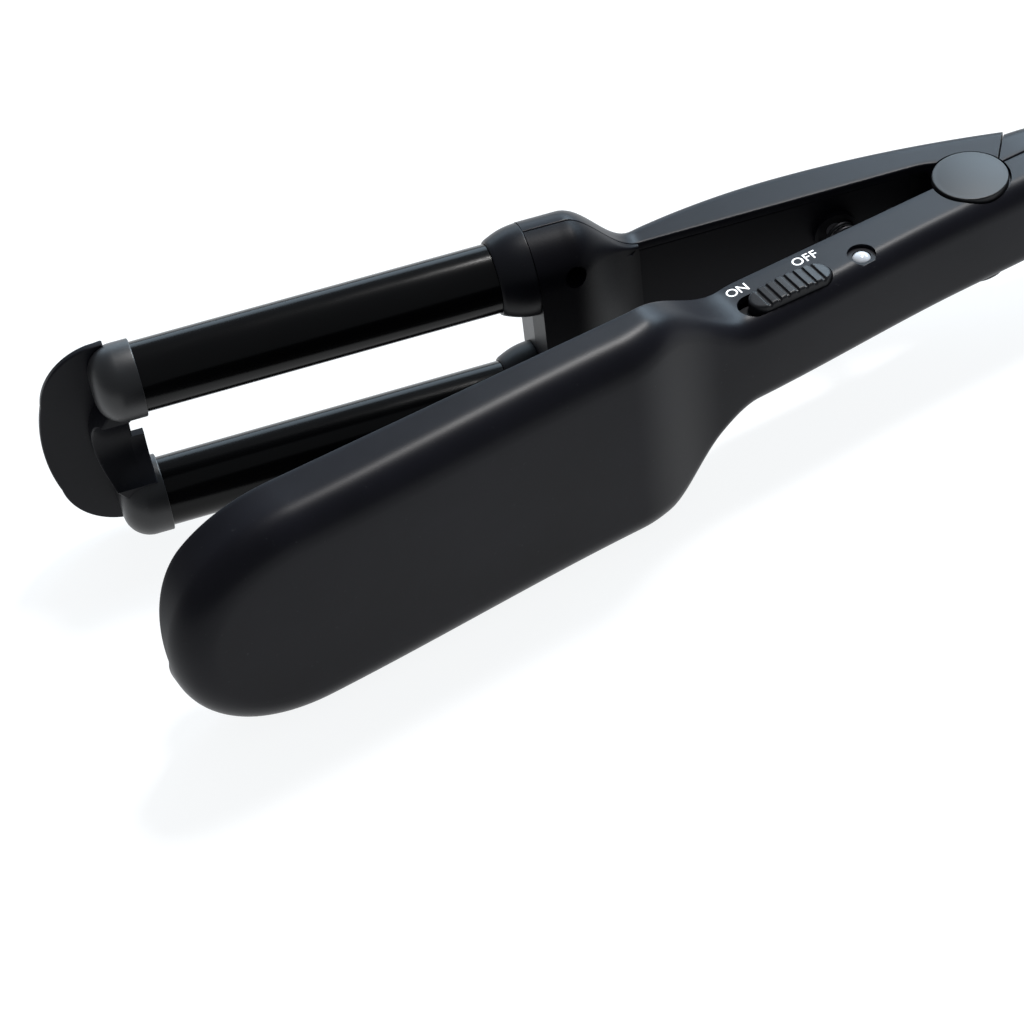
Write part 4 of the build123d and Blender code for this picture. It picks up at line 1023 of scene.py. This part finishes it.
swivelLook = {
    "bore": 3.2, "start": 50.3, "flange": (52.7, 8.0, 0.3), "neckStart": (52.75, 6.5, 0.05),
    "neckEnd": (62.0, 6.5, 0.8), "boreEdge": (0.2, 0.7),
}


def swivelCollar():
    # flange inside the tail, neck through its end, bore for the cord; corners are (x, r, cut)
    g = swivelLook
    first, last = g["boreEdge"]
    outline = rounded([(g["start"], g["bore"], first), (g["start"], *g["flange"][1:]), g["flange"],
                       g["neckStart"], g["neckEnd"], (g["neckEnd"][0], g["bore"], last)])
    addPiece("swivelCollar", [spun(outline)], "swivel", trimPlastic, ["cord_swivel"])


# the spring's foot is in metres
springLook = {
    "at": 31.0, "radius": 4.0, "wire": 0.5, "turns": 6.0, "low": 2.9, "high": 15.0, "keep": 0.38,
    "closeEnds": 0.45, "foot": 0.0023,
}


def jawSpring():
    # helix: y = low + (high - low) f(t) with the end turns close together, wire drawn as a tube round it
    g = springLook
    t = np.linspace(0, 1, 420)
    closed = mixed(t, eased(t, 0, 1), g["closeEnds"])
    turn = 2 * math.pi * g["turns"] * t
    path = np.stack([g["radius"] * np.cos(turn) - g["at"], mixed(g["low"], g["high"], closed),
                     g["radius"] * np.sin(turn)], -1)
    ahead = np.gradient(path, axis=0)
    ahead /= np.linalg.norm(ahead, axis=1, keepdims=True)
    out = np.stack([np.cos(turn), 0 * turn, np.sin(turn)], -1)
    side = np.cross(ahead, out)
    a = np.linspace(0, 2 * math.pi, 14, endpoint=False)[None, :, None]
    grid = path[:, None] + g["wire"] * (out[:, None] * np.cos(a) + side[:, None] * np.sin(a))
    spring = addPiece("jawSpringWire", [(grid, closedFaces(*grid.shape[:2]))], "near_arm",
                      springSteel, ["jaw_spring"])
    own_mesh(spring)


lettering = {"size": 4.1, "thickness": 0.02, "bold": 0.022, "lift": 0.015, "smooth": 30.0,
             "words": {"ON": (-72.9, -1.3, 0.96), "OFF": (-52.45, -1.2, 1.06)}}


def switchWords():
    w = lettering
    level = nearArm["handleHalfHeight"] + w["lift"]
    for word, (x, y, spacing) in w["words"].items():
        curve = bpy.data.curves.new("word" + word, "FONT")
        curve.body = word
        curve.size = w["size"] * metres
        curve.align_x = curve.align_y = "CENTER"
        curve.extrude = w["thickness"] * metres
        curve.offset = w["bold"] * metres
        curve.space_character = spacing
        maker = linked("wordMaker", curve)
        mesh = baked(maker)
        bpy.data.objects.remove(maker)
        bpy.data.curves.remove(curve)
        mesh.transform(Matrix.Translation(Vector(((x + hingeX) * metres, y * metres, level * metres))))
        tidyMesh(mesh, w["smooth"])
        piece = linked("letters" + word, mesh)
        painted(mesh, whiteInkPaintedGlow)
        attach(piece, "near_arm")


nearShell()
innerCover()
tailCover()
print("near arm ready")
farShell()
farEars()
clampHalf()
print("far arm ready")
barrels()
tipGuard()
tipSaddle()
print("barrels and tip ready")
hingeCaps()
hingeDrum()
switchKnob()
lampLens()
swivelCollar()
jawSpring()
switchWords()
print("hinge, switch and lamp ready")

# nodes that are shown as they are, by material
threeBarrels = ("middle", "upper", "lower")
nodeLooks = (
    (coverPlastic, ["far_handle_cover"]), (trimPlastic, ["middle_nose"]), (capPlastic, ["middle_end_cap"]),
    (pinSteel, ["hinge_pin"]), (switchPlastic, ["switch_body"]), (lampRed, ["lamp"]),
    (boardGreen, ["circuit_board"]), (sleeveBlue, ["capacitor"]), (chipBlack, ["control_chip"]),
    (screwSteel, ["tail_screw", "near_cover_screws", "clamp_screws", "far_cover_screws", "guard_screws"]),
    (aluminium, ["thermal_fuse"] + [name + "_heater_carrier" for name in threeBarrels]),
    (ceramic, [name + "_heater" for name in threeBarrels]),
)
for material, nodeNames in nodeLooks:
    for nodeName in nodeNames:
        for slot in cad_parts[nodeName].material_slots:
            slot.material = material


# places and sizes of the stage, the lights and the camera are metres
stageLook = {
    "floor": (0.17, 0.175, 0.18), "cloud": (0.15, 0.155, 0.16), "cloudScale": 3, "cloudRange": (0.2, 0.8),
    "cloudMix": 0.02, "rough": 0.9, "specular": 0.1, "floorSize": 12.0, "glow": 0.90,
    "glowColour": (0.98, 0.993, 1.0), "world": (0.90, 0.95, 1.0), "worldStrength": 0.30,
}


def stage():
    g = stageLook
    low = cadBox[0][2]
    size = g["floorSize"]
    mesh = bpy.data.meshes.new("floor")
    corners = [(-size, -size, low), (size, -size, low), (size, size, low), (-size, size, low)]
    mesh.from_pydata(corners, [], [(0, 1, 2, 3)])
    floor = linked("floor", mesh)
    s = Shader("floorPaper")
    cloud = s.noise(g["cloudScale"], 2, 0.5)
    tone = s.blend(cloud.clipped(*g["cloudRange"]) * g["cloudMix"], g["floor"], g["cloud"])
    mesh.materials.append(s.finish({
        "Base Color": tone, "Roughness": g["rough"], "Specular IOR Level": g["specular"],
        "Emission Color": (*g["glowColour"], 1), "Emission Strength": g["glow"]}))
    world = bpy.data.worlds.new("studio")
    world.use_nodes = True
    background = world.node_tree.nodes["Background"]
    background.inputs["Color"].default_value = (*g["world"], 1)
    background.inputs["Strength"].default_value = g["worldStrength"]
    bpy.context.scene.world = world
    bpy.context.scene.view_settings.view_transform = "Standard"


lightLooks = {
    "backLow": {"place": (0.80, 1.50, 0.62), "aim": (-0.15, 0.0, 0.0), "size": (3.0, 0.75),
                "radiance": 2.8, "colour": (0.66, 0.84, 1.0)},
    "backHigh": {"place": (1.35, 0.95, 1.20), "aim": (-0.10, 0.0, 0.0), "size": (1.5, 0.75),
                 "radiance": 11.0, "colour": (0.66, 0.84, 1.0)},
    "strip": {"place": (0.42, 0.42, 1.30), "aim": (-0.12, 0.0, 0.0), "size": (0.26, 0.24),
              "radiance": 125, "colour": (1.0, 0.985, 0.97)},
}


def lights():
    # an area light of even radiance gives radiance pi width height watts
    for name, look in lightLooks.items():
        data = bpy.data.lights.new(name, "AREA")
        data.shape = "RECTANGLE"
        data.size, data.size_y = look["size"]
        data.energy = look["radiance"] * math.pi * look["size"][0] * look["size"][1]
        data.color = look["colour"]
        lamp = linked(name, data)
        lamp.location = look["place"]
        toAim = Vector(look["aim"]) - Vector(look["place"])
        lamp.rotation_euler = toAim.to_track_quat("-Z", "Y").to_euler()


cameraLook = {
    "lens": 112.5, "sensor": 36.0, "clip": (0.05, 50.0), "place": (-0.4555, -0.5225, 0.5369),
    "right": (0.8548, -0.5106, -0.0927), "up": (0.4153, 0.5660, 0.7122),
}


def camera():
    c = cameraLook
    data = bpy.data.cameras.new("camera")
    data.lens = c["lens"]
    data.sensor_width = c["sensor"]
    data.clip_start, data.clip_end = c["clip"]
    cam = linked("camera", data)
    right, up = Vector(c["right"]), Vector(c["up"])
    turn = Matrix((right, up, right.cross(up))).transposed().to_4x4()
    cam.matrix_world = Matrix.Translation(Vector(c["place"])) @ turn
    bpy.context.scene.camera = cam


stage()
lights()
camera()
print("stage, lights and camera ready")
